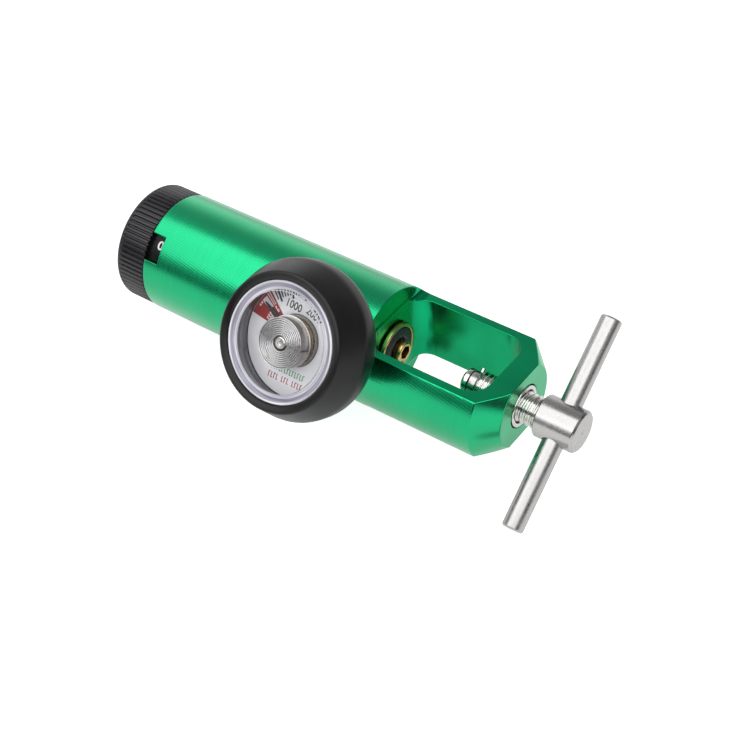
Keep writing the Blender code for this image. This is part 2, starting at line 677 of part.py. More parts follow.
def build_knob():
    """Ribbed knob moulded with its numbered drum, its screw and cap, and the click ball."""
    inner = DRUM_R - DRUM_WALL
    cap_floor = KNOB_LEFT + CAP_THICK + FIT
    head_floor = KNOB_SCREW_HEAD + FIT
    socket_floor = SHAFT_LEFT - FIT
    profile = [(DRUM_RIGHT, inner), (DRUM_RIGHT, DRUM_R), (KNOB_RIGHT, DRUM_R),
               (KNOB_RIGHT, KNOB_R)]
    profile += arc((KNOB_LEFT + KNOB_ROUND, KNOB_R - KNOB_ROUND), KNOB_ROUND, 0.0, -90.0, 3)
    profile += [(KNOB_LEFT, CAP_R + FIT), (cap_floor, CAP_R + FIT), (cap_floor, HEAD_WELL_R),
                (head_floor, HEAD_WELL_R), (head_floor, SCREW_PASS_R),
                (socket_floor, SCREW_PASS_R),
                (socket_floor, SHAFT_R + FIT), (BOSS_RIGHT, SHAFT_R + FIT),
                (BOSS_RIGHT, BOSS_R), (DRUM_FLOOR, BOSS_R), (DRUM_FLOOR, inner)]
    knob = turned("flow_knob", profile, "black_plastic", KNOB_FRAME, steps=RIB_COUNT)
    grooves = bmesh.new()
    low = KNOB_BAND * MM
    high = (KNOB_RIGHT + 1.0) * MM
    outward = 1.0 * MM
    for rib in range(RIB_COUNT):
        turn = Matrix.Rotation(2.0 * math.pi * (rib + 0.5) / RIB_COUNT, 4, 'Z')
        shift = Matrix.Translation(((KNOB_R - RIB_DEPTH) * MM + outward, 0.0, (low + high) / 2))
        size = Matrix.Diagonal((2 * outward, RIB_GROOVE * MM, high - low, 1.0))
        bmesh.ops.create_cube(grooves, size=1.0, matrix=turn @ shift @ size)
    cut(knob, place_mesh("rib_groove_cutter", grooves, None, KNOB_FRAME))
    pocket_floor = -78.0
    cut(knob, rod("click_pocket_cutter", KNOB_FRAME, pocket_floor, BOSS_RIGHT + 2.0,
                  CLICK_HOLLOW_R, (CLICK_RADIUS, 0.0)))
    smooth(knob)

    ball = bmesh.new()
    bmesh.ops.create_uvsphere(ball, u_segments=12, v_segments=8, radius=BALL_R * MM,
                              matrix=Matrix.Translation((0.0, 0.0, BALL_X * MM)))
    place_mesh("click_ball", ball, "stainless", BALL_FRAME).data.shade_smooth()
    coil_spring("click_spring", 0.95, 0.2, pocket_floor + 0.4, BALL_X - BALL_R - 1.0, 5, 8,
                BALL_FRAME)

    screw = turned("knob_screw", [
        (KNOB_SCREW_END, 0.0), (KNOB_SCREW_END, KNOB_SCREW_R), (KNOB_SCREW_HEAD, KNOB_SCREW_R),
        (KNOB_SCREW_HEAD, KNOB_SCREW_HEAD_R), (KNOB_SCREW_TOP, KNOB_SCREW_HEAD_R),
        (KNOB_SCREW_TOP, 0.0)], "stainless", KNOB_FRAME, steps=20)
    cut(screw, rod("knob_screw_socket", KNOB_FRAME, KNOB_SCREW_TOP - 1.0, KNOB_SCREW_HEAD - 1.0,
                   KNOB_SCREW_HEX_R, steps=6))
    smooth(screw)
    cap = turned("knob_end_cap", [
        (KNOB_LEFT + CAP_THICK, 0.0), (KNOB_LEFT + CAP_THICK, CAP_R),
        (KNOB_LEFT + 0.3, CAP_R), (KNOB_LEFT, CAP_R - 0.3), (KNOB_LEFT, 0.0)],
        "black_plastic", KNOB_FRAME, steps=32)
    smooth(cap)


def build_outlet():
    """Hose barb with a hexagon, on the side away from the gauge."""
    hex_top = OUTLET_SEAT + OUTLET_HEX_HIGH
    profile = [(OUTLET_TIP, 0.0)]
    for ridge in range(BARB_RIDGES):
        top = OUTLET_TIP - BARB_PITCH * ridge
        foot = top - BARB_PITCH
        profile += [(top, BARB_ROOT_R), (foot + 0.5, BARB_CREST_R), (foot, BARB_CREST_R)]
    profile += [(foot, BARB_ROOT_R), (hex_top - 1.0, BARB_ROOT_R),
                (hex_top - 1.0, OUTLET_THREAD_R), (OUTLET_THREAD_FROM, OUTLET_THREAD_R),
                (OUTLET_THREAD_FROM, 0.0)]
    barb = turned("outlet_barb", profile, "brass", OUTLET_FRAME, steps=24)
    join(barb, rod("outlet_hexagon", OUTLET_FRAME, OUTLET_SEAT, hex_top, OUTLET_HEX_R, steps=6))
    cut(barb, rod("outlet_bore", OUTLET_FRAME, 5.0, 45.0, OUTLET_BORE_R))
    smooth(barb)


def build_gauge_case():
    """Threaded stem, case, dial, lens and the rubber boot round them."""
    hex_top = GAUGE_SEAT + GAUGE_HEX_HIGH
    neck = CASE_BACK - 0.4
    stem = turned("gauge_stem", [
        (GAUGE_STEM_TOP, 0.0), (GAUGE_STEM_TOP, 3.0), (neck, 3.0), (neck, GAUGE_STEM_R),
        (GAUGE_STEM_FROM, GAUGE_STEM_R), (GAUGE_STEM_FROM, 0.0)], "brass", GAUGE_FRAME,
        steps=24)
    join(stem, rod("stem_hexagon", GAUGE_FRAME, GAUGE_SEAT, hex_top, GAUGE_HEX_R, steps=6))
    cut(stem, rod("stem_bore", GAUGE_FRAME, 5.0, 28.0, 1.0, steps=TINY_STEPS))
    smooth(stem)

    case = turned("gauge_case", [
        (CASE_TOP, CASE_BORE_R), (CASE_TOP, CASE_R), (CASE_BACK + 0.8, CASE_R),
        (CASE_BACK, CASE_R - 0.8), (CASE_BACK, 5.3), (CASE_BACK + 1.0, 5.3),
        (CASE_BACK + 1.0, DIAL_LEDGE_R), (DIAL_LEDGE, DIAL_LEDGE_R),
        (DIAL_LEDGE, CASE_BORE_R)], "stainless", GAUGE_FRAME, steps=OUTER_STEPS)
    dial = turned("dial_plate", [
        (DIAL_FACE, DIAL_HOLE_R), (DIAL_FACE, DIAL_R), (DIAL_FACE - DIAL_THICK, DIAL_R),
        (DIAL_FACE - DIAL_THICK, DIAL_HOLE_R)], "white_enamel", GAUGE_FRAME,
        steps=OUTER_STEPS)
    smooth(case)
    smooth(dial)

    dome = [(LENS_DROP * (radius / LENS_SKIRT_R) ** 2, radius) for radius in (0.0, 6.0, 11.5)]
    outer = [(LENS_TOP - drop, radius) for drop, radius in dome]
    inner = [(LENS_TOP - LENS_THICK - drop, radius) for drop, radius in reversed(dome)]
    lens = turned("gauge_lens", outer + [
        (LENS_TOP - LENS_DROP, LENS_SKIRT_R), (LENS_FLANGE_TOP, LENS_SKIRT_R + 0.3),
        (LENS_FLANGE_TOP, LENS_FLANGE_R), (CASE_TOP + FIT, LENS_FLANGE_R),
        (CASE_TOP + FIT, LENS_SKIRT_R), (LENS_SKIRT_FOOT, LENS_SKIRT_R),
        (LENS_SKIRT_FOOT, LENS_SKIRT_R - 0.8),
        (LENS_TOP - LENS_THICK - LENS_DROP, LENS_SKIRT_R - 0.8)] + inner,
        "clear_polycarbonate", GAUGE_FRAME, steps=OUTER_STEPS)
    smooth(lens)

    inside = CASE_R + FIT
    eye_floor = LENS_FLANGE_TOP + FIT
    boot = turned("gauge_boot", [
        (BOOT_LIP - 0.5, BOOT_EYE_R), (BOOT_LIP, BOOT_EYE_R + 2.2), (BOOT_LIP - 0.3, 19.8),
        (BOOT_WIDEST, BOOT_R), (29.2, BOOT_R - 0.3), (26.8, BOOT_R - 1.7),
        (BOOT_BACK, BOOT_R - 3.8), (BOOT_BACK, BOOT_BACK_HOLE_R),
        (CASE_BACK - FIT, BOOT_BACK_HOLE_R), (CASE_BACK - FIT, inside), (eye_floor, inside),
        (eye_floor, BOOT_EYE_R)], "black_rubber", GAUGE_FRAME, steps=OUTER_STEPS)
    smooth(boot)


def build_movement():
    """Spiral sensing tube on its post, the cup under it, and the pointer."""
    cup = turned("coil_cup", [
        (CUP_TOP, CUP_R - CUP_WALL), (CUP_TOP, CUP_R), (CUP_FLOOR, CUP_R), (CUP_FLOOR, 1.8),
        (CUP_FLOOR + CUP_WALL, 1.8), (CUP_FLOOR + CUP_WALL, CUP_R - CUP_WALL)],
        "brass", GAUGE_FRAME)
    smooth(cup)
    post = rod("coil_post", GAUGE_FRAME, GAUGE_STEM_TOP + FIT, COIL_TO, POST_R,
               look="stainless")
    cut(post, rod("post_socket", GAUGE_FRAME, COIL_TO - 0.8, COIL_TO + 1.0, 0.75, steps=6))
    smooth(post)

    per_turn = 18
    count = COIL_TURNS * per_turn
    ribbon = bmesh.new()
    rim = []
    for index in range(count + 1):
        angle = 2.0 * math.pi * index / per_turn
        radius = COIL_EYE_R + (COIL_R - COIL_EYE_R) * index / count
        rim.append(ribbon.verts.new((radius * math.cos(angle) * MM,
                                     radius * math.sin(angle) * MM, COIL_FROM * MM)))
    edges = [ribbon.edges.new(pair) for pair in zip(rim, rim[1:])]
    grown = bmesh.ops.extrude_edge_only(ribbon, edges=edges)
    raised = [item for item in grown["geom"] if isinstance(item, bmesh.types.BMVert)]
    bmesh.ops.translate(ribbon, verts=raised, vec=(0.0, 0.0, (COIL_TO - COIL_FROM) * MM))
    coil = place_mesh("bourdon_spiral", ribbon, "stainless", GAUGE_FRAME)
    wall = coil.modifiers.new("wall", 'SOLIDIFY')
    wall.thickness = COIL_THICK * MM
    wall.offset = 0.0
    smooth(coil)

    pointer = turned("pointer", [
        (POINTER_FACE + POINTER_THICK, POINTER_BORE_R),
        (POINTER_FACE + POINTER_THICK, POINTER_RING_R), (POINTER_FACE, POINTER_RING_R),
        (POINTER_FACE, POINTER_BORE_R)], "black_plastic", POINTER_FRAME)
    join(pointer, pointer_arm())
    smooth(pointer)


def pointer_arm():
    """The tapered arm: a flat outline made a solid, at the pointer's zero angle."""
    tip = [(POINTER_BORE_R + 0.3, -POINTER_ROOT_HALF), (POINTER_TIP_R - 1.0, -0.3),
           (POINTER_TIP_R, 0.0), (POINTER_TIP_R - 1.0, 0.3),
           (POINTER_BORE_R + 0.3, POINTER_ROOT_HALF)]
    curve = bpy.data.curves.new("pointer_arm_outline", 'CURVE')
    curve.dimensions = '2D'
    curve.fill_mode = 'BOTH'
    curve.extrude = POINTER_THICK / 2 * MM
    spline = curve.splines.new('POLY')
    spline.points.add(len(tip) - 1)
    spline.use_cyclic_u = True
    for point, (x, y) in zip(spline.points, tip):
        point.co = (x * MM, y * MM, 0.0, 1.0)
    outline = bpy.data.objects.new("pointer_arm_outline", curve)
    CUTTERS.objects.link(outline)
    evaluated = outline.evaluated_get(bpy.context.evaluated_depsgraph_get())
    flat = bpy.data.meshes.new_from_object(evaluated)
    shape = bmesh.new()
    shape.from_mesh(flat)
    bmesh.ops.remove_doubles(shape, verts=shape.verts, dist=0.00001)
    arm = place_mesh("pointer_arm", shape, None, POINTER_FRAME)
    arm.location.z = (POINTER_FACE + POINTER_THICK / 2) * MM
    arm.rotation_euler.z = math.radians(POINTER_ZERO_DEG)
    bpy.data.objects.remove(outline, do_unlink=True)
    return arm


build_body()
build_inlet()
build_clamp()
build_pressure_stage()
build_plug()
build_selector()
build_knob()
build_outlet()
build_gauge_case()
build_movement()
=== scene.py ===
import json
import math

import bmesh
import bpy
from mathutils import Matrix, Vector


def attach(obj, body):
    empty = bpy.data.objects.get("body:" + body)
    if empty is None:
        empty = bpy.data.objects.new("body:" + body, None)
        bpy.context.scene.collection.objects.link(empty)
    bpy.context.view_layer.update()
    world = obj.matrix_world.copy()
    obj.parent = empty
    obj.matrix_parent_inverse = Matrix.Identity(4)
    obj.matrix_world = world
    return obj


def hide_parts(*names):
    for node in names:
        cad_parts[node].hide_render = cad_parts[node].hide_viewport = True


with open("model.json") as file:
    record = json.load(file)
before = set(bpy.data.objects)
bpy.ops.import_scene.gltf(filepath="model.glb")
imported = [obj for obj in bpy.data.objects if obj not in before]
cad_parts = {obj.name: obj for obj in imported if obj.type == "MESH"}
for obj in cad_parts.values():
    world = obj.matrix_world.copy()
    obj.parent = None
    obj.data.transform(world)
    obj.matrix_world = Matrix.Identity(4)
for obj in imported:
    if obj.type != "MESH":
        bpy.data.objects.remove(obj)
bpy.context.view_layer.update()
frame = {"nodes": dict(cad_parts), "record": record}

# Lengths are in millimetres, in the frame of the CAD part, until place_mesh turns them into metres.
MM = 0.001

# Body and yoke
BODY_R = 19.0
BODY_LEFT = -81.8
BODY_RIGHT = 44.8
NOSE_CHAMFER = 6.4
FLAT_HALF = 10.55
STEP_X = -0.3
STEP_FILLET = 3.0
SLOT_END = 37.8
SLOT_HALF = 13.1
SLOT_CORNER = 6.0
BORE_R = 15.5
DRUM_BORE_R = 17.3
DRUM_BORE_X = -74.0
WINDOW_DEPTH = 5.3
WINDOW_FROM_DEG = 26.6
WINDOW_TO_DEG = 53.0
GAUGE_PORT_R = 5.2
OUTLET_PORT_R = 3.7
PIN_CIRCLE_R = 14.3
PIN_HOLE_R = 2.3
PIN_HALF_DEG = 18.0

# Stripes along the tube: the lean is a ratio and the tilt is in radians
STRIPE_PITCH = 0.75
STRIPE_LEAN = 0.19
STRIPE_TILT = 0.038

# Rounding: the usual corner of a turned piece, and in metres what merge_back_steps goes by
EDGE = 0.16
BIG_FACE = 0.000005
SHORT_STEP = 0.00012

# Clamp screw
SCREW_CREST_R = 4.76
SCREW_ROOT_R = 4.0
THREAD_PITCH = 1.5875
THREAD_FROM = 30.0
HUB_FROM = 50.95
HUB_TO = 63.65
HUB_R = 6.4
TEE_X = 57.1
TEE_DEG = 140.9
TEE_HALF = 32.5
TEE_R = 3.2
STOP_X = 28.9

# Gauge
GAUGE_X = -12.25
GAUGE_DEG = 32.0
WINDOW_TOP = 43.45
WINDOW_R = 14.3
WINDOW_THICK = 0.85
# The band of the window rim that takes the grey painted reflection.
RIM_REFLECTION_FROM_R = 15.4
RIM_REFLECTION_TO_R = 16.6
DIAL_FACE = 34.0
DIAL_R = 16.4
DIAL_HOLE_R = 7.5
ZERO_DEG = 151.3
THOUSAND_DEG = 38.83
TICK_COUNT = 41
FIRST_TICK_DEG = 139.0
SHORT_TICK_R = 12.6
LONG_TICK_R = 11.6
PRINT_UP = 0.005
PRINT_STEP = 0.012
COIL_TURNS = 9
COIL_HALF_WALL = 0.155
COIL_INNER_R = 2.1
COIL_OUTER_R = 7.3
COIL_LOW = 38.3
COIL_TOP = 42.0

# Flow selector
KNOB_R = 18.85
KNOB_RIGHT = -82.1
KNOB_LEFT = -93.2
RIB_COUNT = 72
RIB_DEPTH = 0.6
KNOB_ROUND = 1.45
DRUM_R = 16.9
DRUM_RIGHT = -74.5
DRUM_ZERO_X = -78.5
DRUM_ZERO_DEG = 43.5
DRUM_NUMBERS = ("0", ".5", "1", "1.5", "2", "2.5", "3", "4", "5", "6", "7", "8")

# Outlet
OUTLET_X = -53.5

# Studio. The floor is low enough for the tee bar to turn above it. Lamp and camera in metres.
FLOOR_UP = -33.2
FLOOR_SEEN = 0.7
FLOOR_MIRRORED = 0.24
BANK_PLACE = (0.02, -0.28, 0.55)
BANK_SIZE = (1.30, 0.86)
BANK_LEVEL = 1.66
LENS = 72.33
CAMERA_PLACE = (0.19511, -0.26484, 0.29666)
CAMERA_RIGHT = (0.81193, 0.58288, -0.03205)
CAMERA_UP = (-0.37951, 0.56878, 0.72970)
CAMERA_BACK = (0.44356, -0.58030, 0.68302)
ROOM_LIGHT = ((90.0, 8.0, 12.0, 0.95), (135.0, 8.0, 12.0, 1.38), (180.0, 8.0, 12.0, 0.56),
              (0.0, 45.0, 8.0, 0.60), (60.0, 45.0, 8.0, 0.15), (120.0, 45.0, 8.0, 0.15),
              (180.0, 45.0, 8.0, 0.65), (243.0, 26.0, 20.0, 0.80), (300.0, 45.0, 8.0, 0.20))

WORLD = Matrix.Identity(4)
BODY = Matrix.Rotation(math.radians(90.0), 4, 'Y')


def across(along_x, degrees):
    """A frame on the body's axis whose Z is square to it, at an angle from -Y towards +Z."""
    place = Matrix.Translation((along_x, 0.0, 0.0))
    return place @ Matrix.Rotation(math.radians(90.0 - degrees), 4, 'X')


GAUGE = across(GAUGE_X, GAUGE_DEG)
TEE = across(TEE_X, TEE_DEG)
STOP = across(STOP_X, TEE_DEG)
OUTLET = across(OUTLET_X, GAUGE_DEG + 180.0)


# Materials

def new_surface(name, colour, roughness, metallic=0.0):
    """A material and its shader, with the values that are the same all over the surface."""
    made = bpy.data.materials.new(name)
    made.use_nodes = True
    shader = made.node_tree.nodes["Principled BSDF"]
    shader.inputs["Base Color"].default_value = (*colour, 1.0)
    shader.inputs["Roughness"].default_value = roughness
    shader.inputs["Metallic"].default_value = metallic
    return made, shader


def new_node(made, kind):
    """A new shader node of a kind."""
    return made.node_tree.nodes.new("ShaderNode" + kind)


def link(made, source, socket):
    """Feed a node's socket."""
    made.node_tree.links.new(source, socket)


def stretched(made, scale, turn=(0.0, 0.0, 0.0)):
    """Coordinates of the part, in metres, turned and then stretched by one scale or three."""
    place = new_node(made, "TexCoord")
    turned_by = new_node(made, "Mapping")
    turned_by.inputs["Rotation"].default_value = turn
    link(made, place.outputs["Object"], turned_by.inputs["Vector"])
    scaled = new_node(made, "Mapping")
    scaled.inputs["Scale"].default_value = (scale,) * 3 if isinstance(scale, float) else scale
    link(made, turned_by.outputs["Vector"], scaled.inputs["Vector"])
    return scaled.outputs["Vector"]


def noise(made, vector, detail=3.0, roughness=0.5):
    """Soft noise, whose size is set by how much its coordinates are stretched."""
    node = new_node(made, "TexNoise")
    node.inputs["Scale"].default_value = 1.0
    node.inputs["Detail"].default_value = detail
    node.inputs["Roughness"].default_value = roughness
    link(made, vector, node.inputs["Vector"])
    return node.outputs["Fac"]


def remap(made, value, low, high, to_low=0.0, to_high=1.0):
    """A value taken from one range to another."""
    node = new_node(made, "MapRange")
    for socket, number in (("From Min", low), ("From Max", high), ("To Min", to_low),
                           ("To Max", to_high)):
        node.inputs[socket].default_value = number
    link(made, value, node.inputs["Value"])
    return node.outputs["Result"]


def combine(made, first, second, operation='ADD'):
    """Arithmetic on two values, each a link or a number."""
    node = new_node(made, "Math")
    node.operation = operation
    for socket, value in zip(node.inputs, (first, second)):
        if isinstance(value, float):
            socket.default_value = value
        else:
            link(made, value, socket)
    return node.outputs["Value"]


def two_tone(made, shader, value, low, high, tones):
    """Base colour that runs between two colours as a value goes from low to high."""
    node = new_node(made, "Mix")
    node.data_type = 'RGBA'
    node.inputs[6].default_value = (*tones[0], 1.0)
    node.inputs[7].default_value = (*tones[1], 1.0)
    link(made, remap(made, value, low, high), node.inputs[0])
    link(made, node.outputs[2], shader.inputs["Base Color"])


def uneven_gloss(made, shader, value, low, high, least, most):
    """Roughness that runs from least to most as a value goes from low to high."""
    link(made, remap(made, value, low, high, least, most), shader.inputs["Roughness"])


def relief(made, shader, height, depth, strength):
    """Bump of the given height, in metres."""
    node = new_node(made, "Bump")
    node.inputs["Strength"].default_value = strength
    node.inputs["Distance"].default_value = depth
    link(made, height, node.inputs["Height"])
    link(made, node.outputs["Normal"], shader.inputs["Normal"])


def stripe_phase(made):
    """Phase of fine even stripes that run along the body and lean a little round it."""
    place = new_node(made, "TexCoord")
    parts = new_node(made, "SeparateXYZ")
    link(made, place.outputs["Object"], parts.inputs["Vector"])
    back = combine(made, parts.outputs["Y"], -1.0, 'MULTIPLY')
    angle = combine(made, parts.outputs["Z"], back, 'ARCTAN2')
    round_it = combine(made, angle, BODY_R * MM, 'MULTIPLY')
    along = combine(made, parts.outputs["X"], STRIPE_LEAN, 'MULTIPLY')
    return combine(made, combine(made, round_it, along), math.tau / (STRIPE_PITCH * MM),
                   'MULTIPLY')


def vector_step(made, operation, first, second):
    """Vector arithmetic on a link and either a fixed vector, a scale or another link."""
    node = new_node(made, "VectorMath")
    node.operation = operation
    link(made, first, node.inputs[0])
    if isinstance(second, tuple):
        node.inputs[1].default_value = second
    else:
        socket = node.inputs["Scale"] if operation == 'SCALE' else node.inputs[1]
        link(made, second, socket)
    return node.outputs["Vector"]


def tilt_round_body(made, shader, tilt):
    """Lean the normal round the body's axis by a varying tilt, in radians."""
    surface = new_node(made, "NewGeometry").outputs["Normal"]
    sideways = vector_step(made, 'CROSS_PRODUCT', surface, (1.0, 0.0, 0.0))
    leaning = vector_step(made, 'ADD', surface, vector_step(made, 'SCALE', sideways, tilt))
    link(made, leaning, shader.inputs["Normal"])


def green_turned():
    """Anodised aluminium, turned to an even satin, with faint stripes along it."""
    made, shader = new_surface("anodised_green_turned", GREEN_TONES[0], 0.3, 1.0)
    fine = noise(made, stretched(made, (5200.0, 60.0, 60.0)), 2.0)
    cloud = noise(made, stretched(made, (70.0, 24.0, 24.0)))
    both = combine(made, fine, combine(made, cloud, 0.7, 'MULTIPLY'))
    wave = combine(made, stripe_phase(made), 0.0, 'COSINE')
    striped = combine(made, both, combine(made, wave, 0.16, 'MULTIPLY'))
    two_tone(made, shader, striped, 0.5, 1.2, GREEN_TONES)
    uneven_gloss(made, shader, both, 0.6, 1.1, 0.22, 0.27)
    tilt_round_body(made, shader, combine(made, wave, STRIPE_TILT, 'MULTIPLY'))
    coat(shader, 0.4, 0.2)
    return made


def coat(shader, weight, roughness):
    """The clear skin of the anodised surface."""
    shader.inputs["Coat Weight"].default_value = weight
    shader.inputs["Coat Roughness"].default_value = roughness


def green_milled(name, coat_weight):
    """The same anodised aluminium where it is milled or faced, with a fine even grain."""
    made, shader = new_surface(name, GREEN_TONES[0], 0.24, 1.0)
    grain = noise(made, stretched(made, 1600.0), 4.0, 0.6)
    cloud = noise(made, stretched(made, 60.0), 2.0)
    two_tone(made, shader, cloud, 0.3, 0.7, GREEN_TONES)
    uneven_gloss(made, shader, grain, 0.3, 0.7, 0.20, 0.26)
    relief(made, shader, grain, 0.000003, 0.3)
    coat(shader, coat_weight, 0.25)
    return made


def steel(name, tones, roughness, scale, turn=(0.0, 0.0, 0.0), depth=0.00001):
    """Stainless steel with streaks that lie across the directions of large scale."""
    made, shader = new_surface(name, tones[0], roughness, 1.0)
    streaks = noise(made, stretched(made, scale, turn), 4.0, 0.6)
    smears = noise(made, stretched(made, 160.0))
    two_tone(made, shader, streaks, 0.3, 0.7, tones)
    both = combine(made, streaks, combine(made, smears, 0.5, 'MULTIPLY'))
    uneven_gloss(made, shader, both, 0.5, 1.0, roughness - 0.07, roughness + 0.07)
    relief(made, shader, streaks, depth, 0.4)
    return made


def brass(name, tones, roughness):
    """Yellow metal with faint stains and fine scratches."""
    made, shader = new_surface(name, tones[0], roughness, 1.0)
    stains = noise(made, stretched(made, 420.0), 4.0, 0.6)
    rings = noise(made, stretched(made, (2600.0, 90.0, 90.0)), 2.0)
    two_tone(made, shader, stains, 0.35, 0.65, tones)
    uneven_gloss(made, shader, rings, 0.3, 0.7, roughness - 0.06, roughness + 0.08)
    relief(made, shader, rings, 0.00001, 0.4)
    return made


def moulded(name, tones, roughness, grain_scale, depth, gloss=0.5):
    """Black rubber or plastic with a fine moulded grain and slightly uneven gloss."""
    made, shader = new_surface(name, tones[0], roughness)
    grain = noise(made, stretched(made, grain_scale), 5.0, 0.65)
    cloud = noise(made, stretched(made, 120.0))
    two_tone(made, shader, cloud, 0.3, 0.7, tones)
    uneven_gloss(made, shader, cloud, 0.3, 0.7, roughness - 0.05, roughness + 0.05)
    relief(made, shader, grain, depth, 0.5)
    shader.inputs["Specular IOR Level"].default_value = gloss
    return made


def painted(name, tones, roughness=0.45, scale=90.0, turn=(0.0, 0.0, 0.0)):
    """Paint, print or enamel with a faint orange-peel."""
    made, shader = new_surface(name, tones[0], roughness)
    peel = noise(made, stretched(made, 1500.0))
    cloud = noise(made, stretched(made, scale, turn), 2.0)
    two_tone(made, shader, cloud, 0.3, 0.7, tones)
    uneven_gloss(made, shader, peel, 0.3, 0.7, roughness - 0.05, roughness + 0.05)
    relief(made, shader, peel, 0.000004, 0.3)
    return made


def node_of(made, kind):
    """The material's one node of a kind."""
    return next(node for node in made.node_tree.nodes if node.type == kind)


def show_by_ray(made, kind, usual, special, output):
    """Rays of one kind see the special shader, and all others see the usual one."""
    path = new_node(made, "LightPath")
    mixed = new_node(made, "MixShader")
    sources = (path.outputs[kind], usual.outputs[0], special.outputs[0])
    for source, socket in zip(sources, mixed.inputs):
        link(made, source, socket)
    link(made, mixed.outputs[0], output.inputs["Surface"])


def clear_window():
    """Clear moulded polycarbonate that lets the lamps' light through."""
    made, shader = new_surface("clear_polycarbonate", (0.995, 0.995, 1.0), 0.0)
    shader.inputs["Transmission Weight"].default_value = 1.0
    shader.inputs["IOR"].default_value = 1.4
    uneven_gloss(made, shader, noise(made, stretched(made, 140.0)), 0.5, 0.8, 0.0, 0.02)
    let_lamps_through(made, shader)
    return made


def let_lamps_through(made, shader):
    """Lamps shine through the piece as through clear plastic."""
    clear = new_node(made, "BsdfTransparent")
    clear.inputs["Color"].default_value = (0.97, 0.97, 0.98, 1.0)
    show_by_ray(made, "Is Shadow Ray", shader, clear, node_of(made, 'OUTPUT_MATERIAL'))


def clear_edge_painted_light(name, tones):
    """The thick edge of clear plastic, with its light painted on as a painted highlight and painted
    reflection, in fine rings round it.
    """
    made = painted(name, tones, 0.15, scale=(60.0, 60.0, 2600.0), turn=GAUGE_TURN)
    let_lamps_through(made, node_of(made, 'BSDF_PRINCIPLED'))
    return made


# Colours are in pairs, between which a surface's cloud or grain runs.
GREEN_TONES = ((0.0, 0.38, 0.15), (0.0, 0.49, 0.195))
STEEL_LIGHT = ((0.46, 0.45, 0.445), (0.56, 0.55, 0.545))
GAUGE_TURN = (math.radians(GAUGE_DEG - 90.0), 0.0, 0.0)
TEE_TURN = (math.radians(TEE_DEG - 90.0), 0.0, 0.0)
GREEN_TURNED = green_turned()
GREEN_MILLED = green_milled("anodised_green_milled", 0.15)
GREEN_FACED = green_milled("anodised_green_faced", 0.5)
STEEL_HUB = steel("steel_turned", STEEL_LIGHT, 0.25, 1600.0, depth=0.0000006)
STEEL_BAR = steel("steel_drawn", STEEL_LIGHT, 0.30, (2400.0, 2400.0, 900.0), TEE_TURN, 0.000003)
STEEL_THREAD = steel("steel_bright", ((0.68, 0.66, 0.64), (0.80, 0.78, 0.76)), 0.16, 500.0)
STEEL_INNER = steel("steel_plain", ((0.46, 0.44, 0.42), (0.58, 0.56, 0.54)), 0.32, 700.0)
COIL_STEEL = steel("steel_tube", ((0.80, 0.79, 0.79), (0.92, 0.91, 0.91)), 0.27, 120.0)
# Darker brown-grey steel for the cup and the coil's outer side, darker than the bright top of the
# coil.
TUBE_SIDE = steel("steel_brown_grey", ((0.24, 0.22, 0.20), (0.36, 0.335, 0.31)), 0.34,
                  (120.0, 120.0, 1900.0), GAUGE_TURN, 0.000002)
# Darker brass painted on the faces inside the nipple's bore and socket, as painted shade.
BRASS_PAINTED_SHADE = brass("brass_painted_shade", ((0.17, 0.09, 0.03), (0.26, 0.15, 0.06)), 0.4)
BRASS = brass("brass_turned", ((0.74, 0.48, 0.17), (0.90, 0.64, 0.28)), 0.28)
PLATED = brass("yellow_plating", ((0.60, 0.42, 0.17), (0.42, 0.43, 0.13)), 0.27)
BRONZE = brass("bronze_sintered", ((0.30, 0.19, 0.09), (0.46, 0.31, 0.16)), 0.6)
RUBBER = moulded("rubber_satin", ((0.006, 0.006, 0.007), (0.010, 0.009, 0.010)), 0.34, 2600.0,
                 0.00001, 0.34)
SEAL_RUBBER = moulded("rubber_seal", ((0.016, 0.018, 0.024), (0.026, 0.028, 0.036)), 0.5, 1800.0,
                      0.00002)
PLASTIC = moulded("plastic_satin", ((0.008, 0.008, 0.010), (0.014, 0.013, 0.017)), 0.32, 2200.0,
                  0.00001, 0.55)
DRUM_PLASTIC = moulded("plastic_drum", ((0.004, 0.004, 0.005), (0.007, 0.007, 0.008)), 0.3,
                       1800.0, 0.00001, 0.2)
NYLON = moulded("nylon_natural", ((0.78, 0.76, 0.68), (0.84, 0.82, 0.75)), 0.5, 1500.0, 0.00001)
ENAMEL = painted("enamel_white", ((0.92, 0.92, 0.94), (0.95, 0.95, 0.97)))
COLLAR_GREY = painted("collar_grey", ((0.20, 0.20, 0.195), (0.27, 0.27, 0.265)), 0.5)
CASE_GREY = steel("case_banded", ((0.08, 0.08, 0.09), (0.42, 0.42, 0.44)), 0.32,
                  (40.0, 40.0, 620.0), GAUGE_TURN, 0.000002)
# The window rim's whitish tone is a painted highlight and its grey band a painted reflection, for
# the light of the clear edge.
RIM_PAINTED_HIGHLIGHT = clear_edge_painted_light("window_rim_painted_highlight", ((0.44, 0.44, 0.50), (0.84, 0.84, 0.88)))
RIM_PAINTED_REFLECTION = clear_edge_painted_light("window_rim_painted_reflection", ((0.14, 0.13, 0.18), (0.46, 0.45, 0.53)))
PRINT_RED = painted("print_red", ((0.34, 0.014, 0.011), (0.40, 0.022, 0.017)))
PRINT_BLACK = painted("print_black", ((0.012, 0.012, 0.014), (0.022, 0.022, 0.024)))
PRINT_GREEN = painted("print_green", ((0.02, 0.30, 0.07), (0.03, 0.36, 0.10)))
PRINT_WHITE = painted("print_white", ((0.80, 0.80, 0.82), (0.86, 0.86, 0.87)))
POINTER_BLACK = painted("pointer_black", ((0.016, 0.015, 0.016), (0.028, 0.026, 0.027)), 0.4)
CLEAR = clear_window()

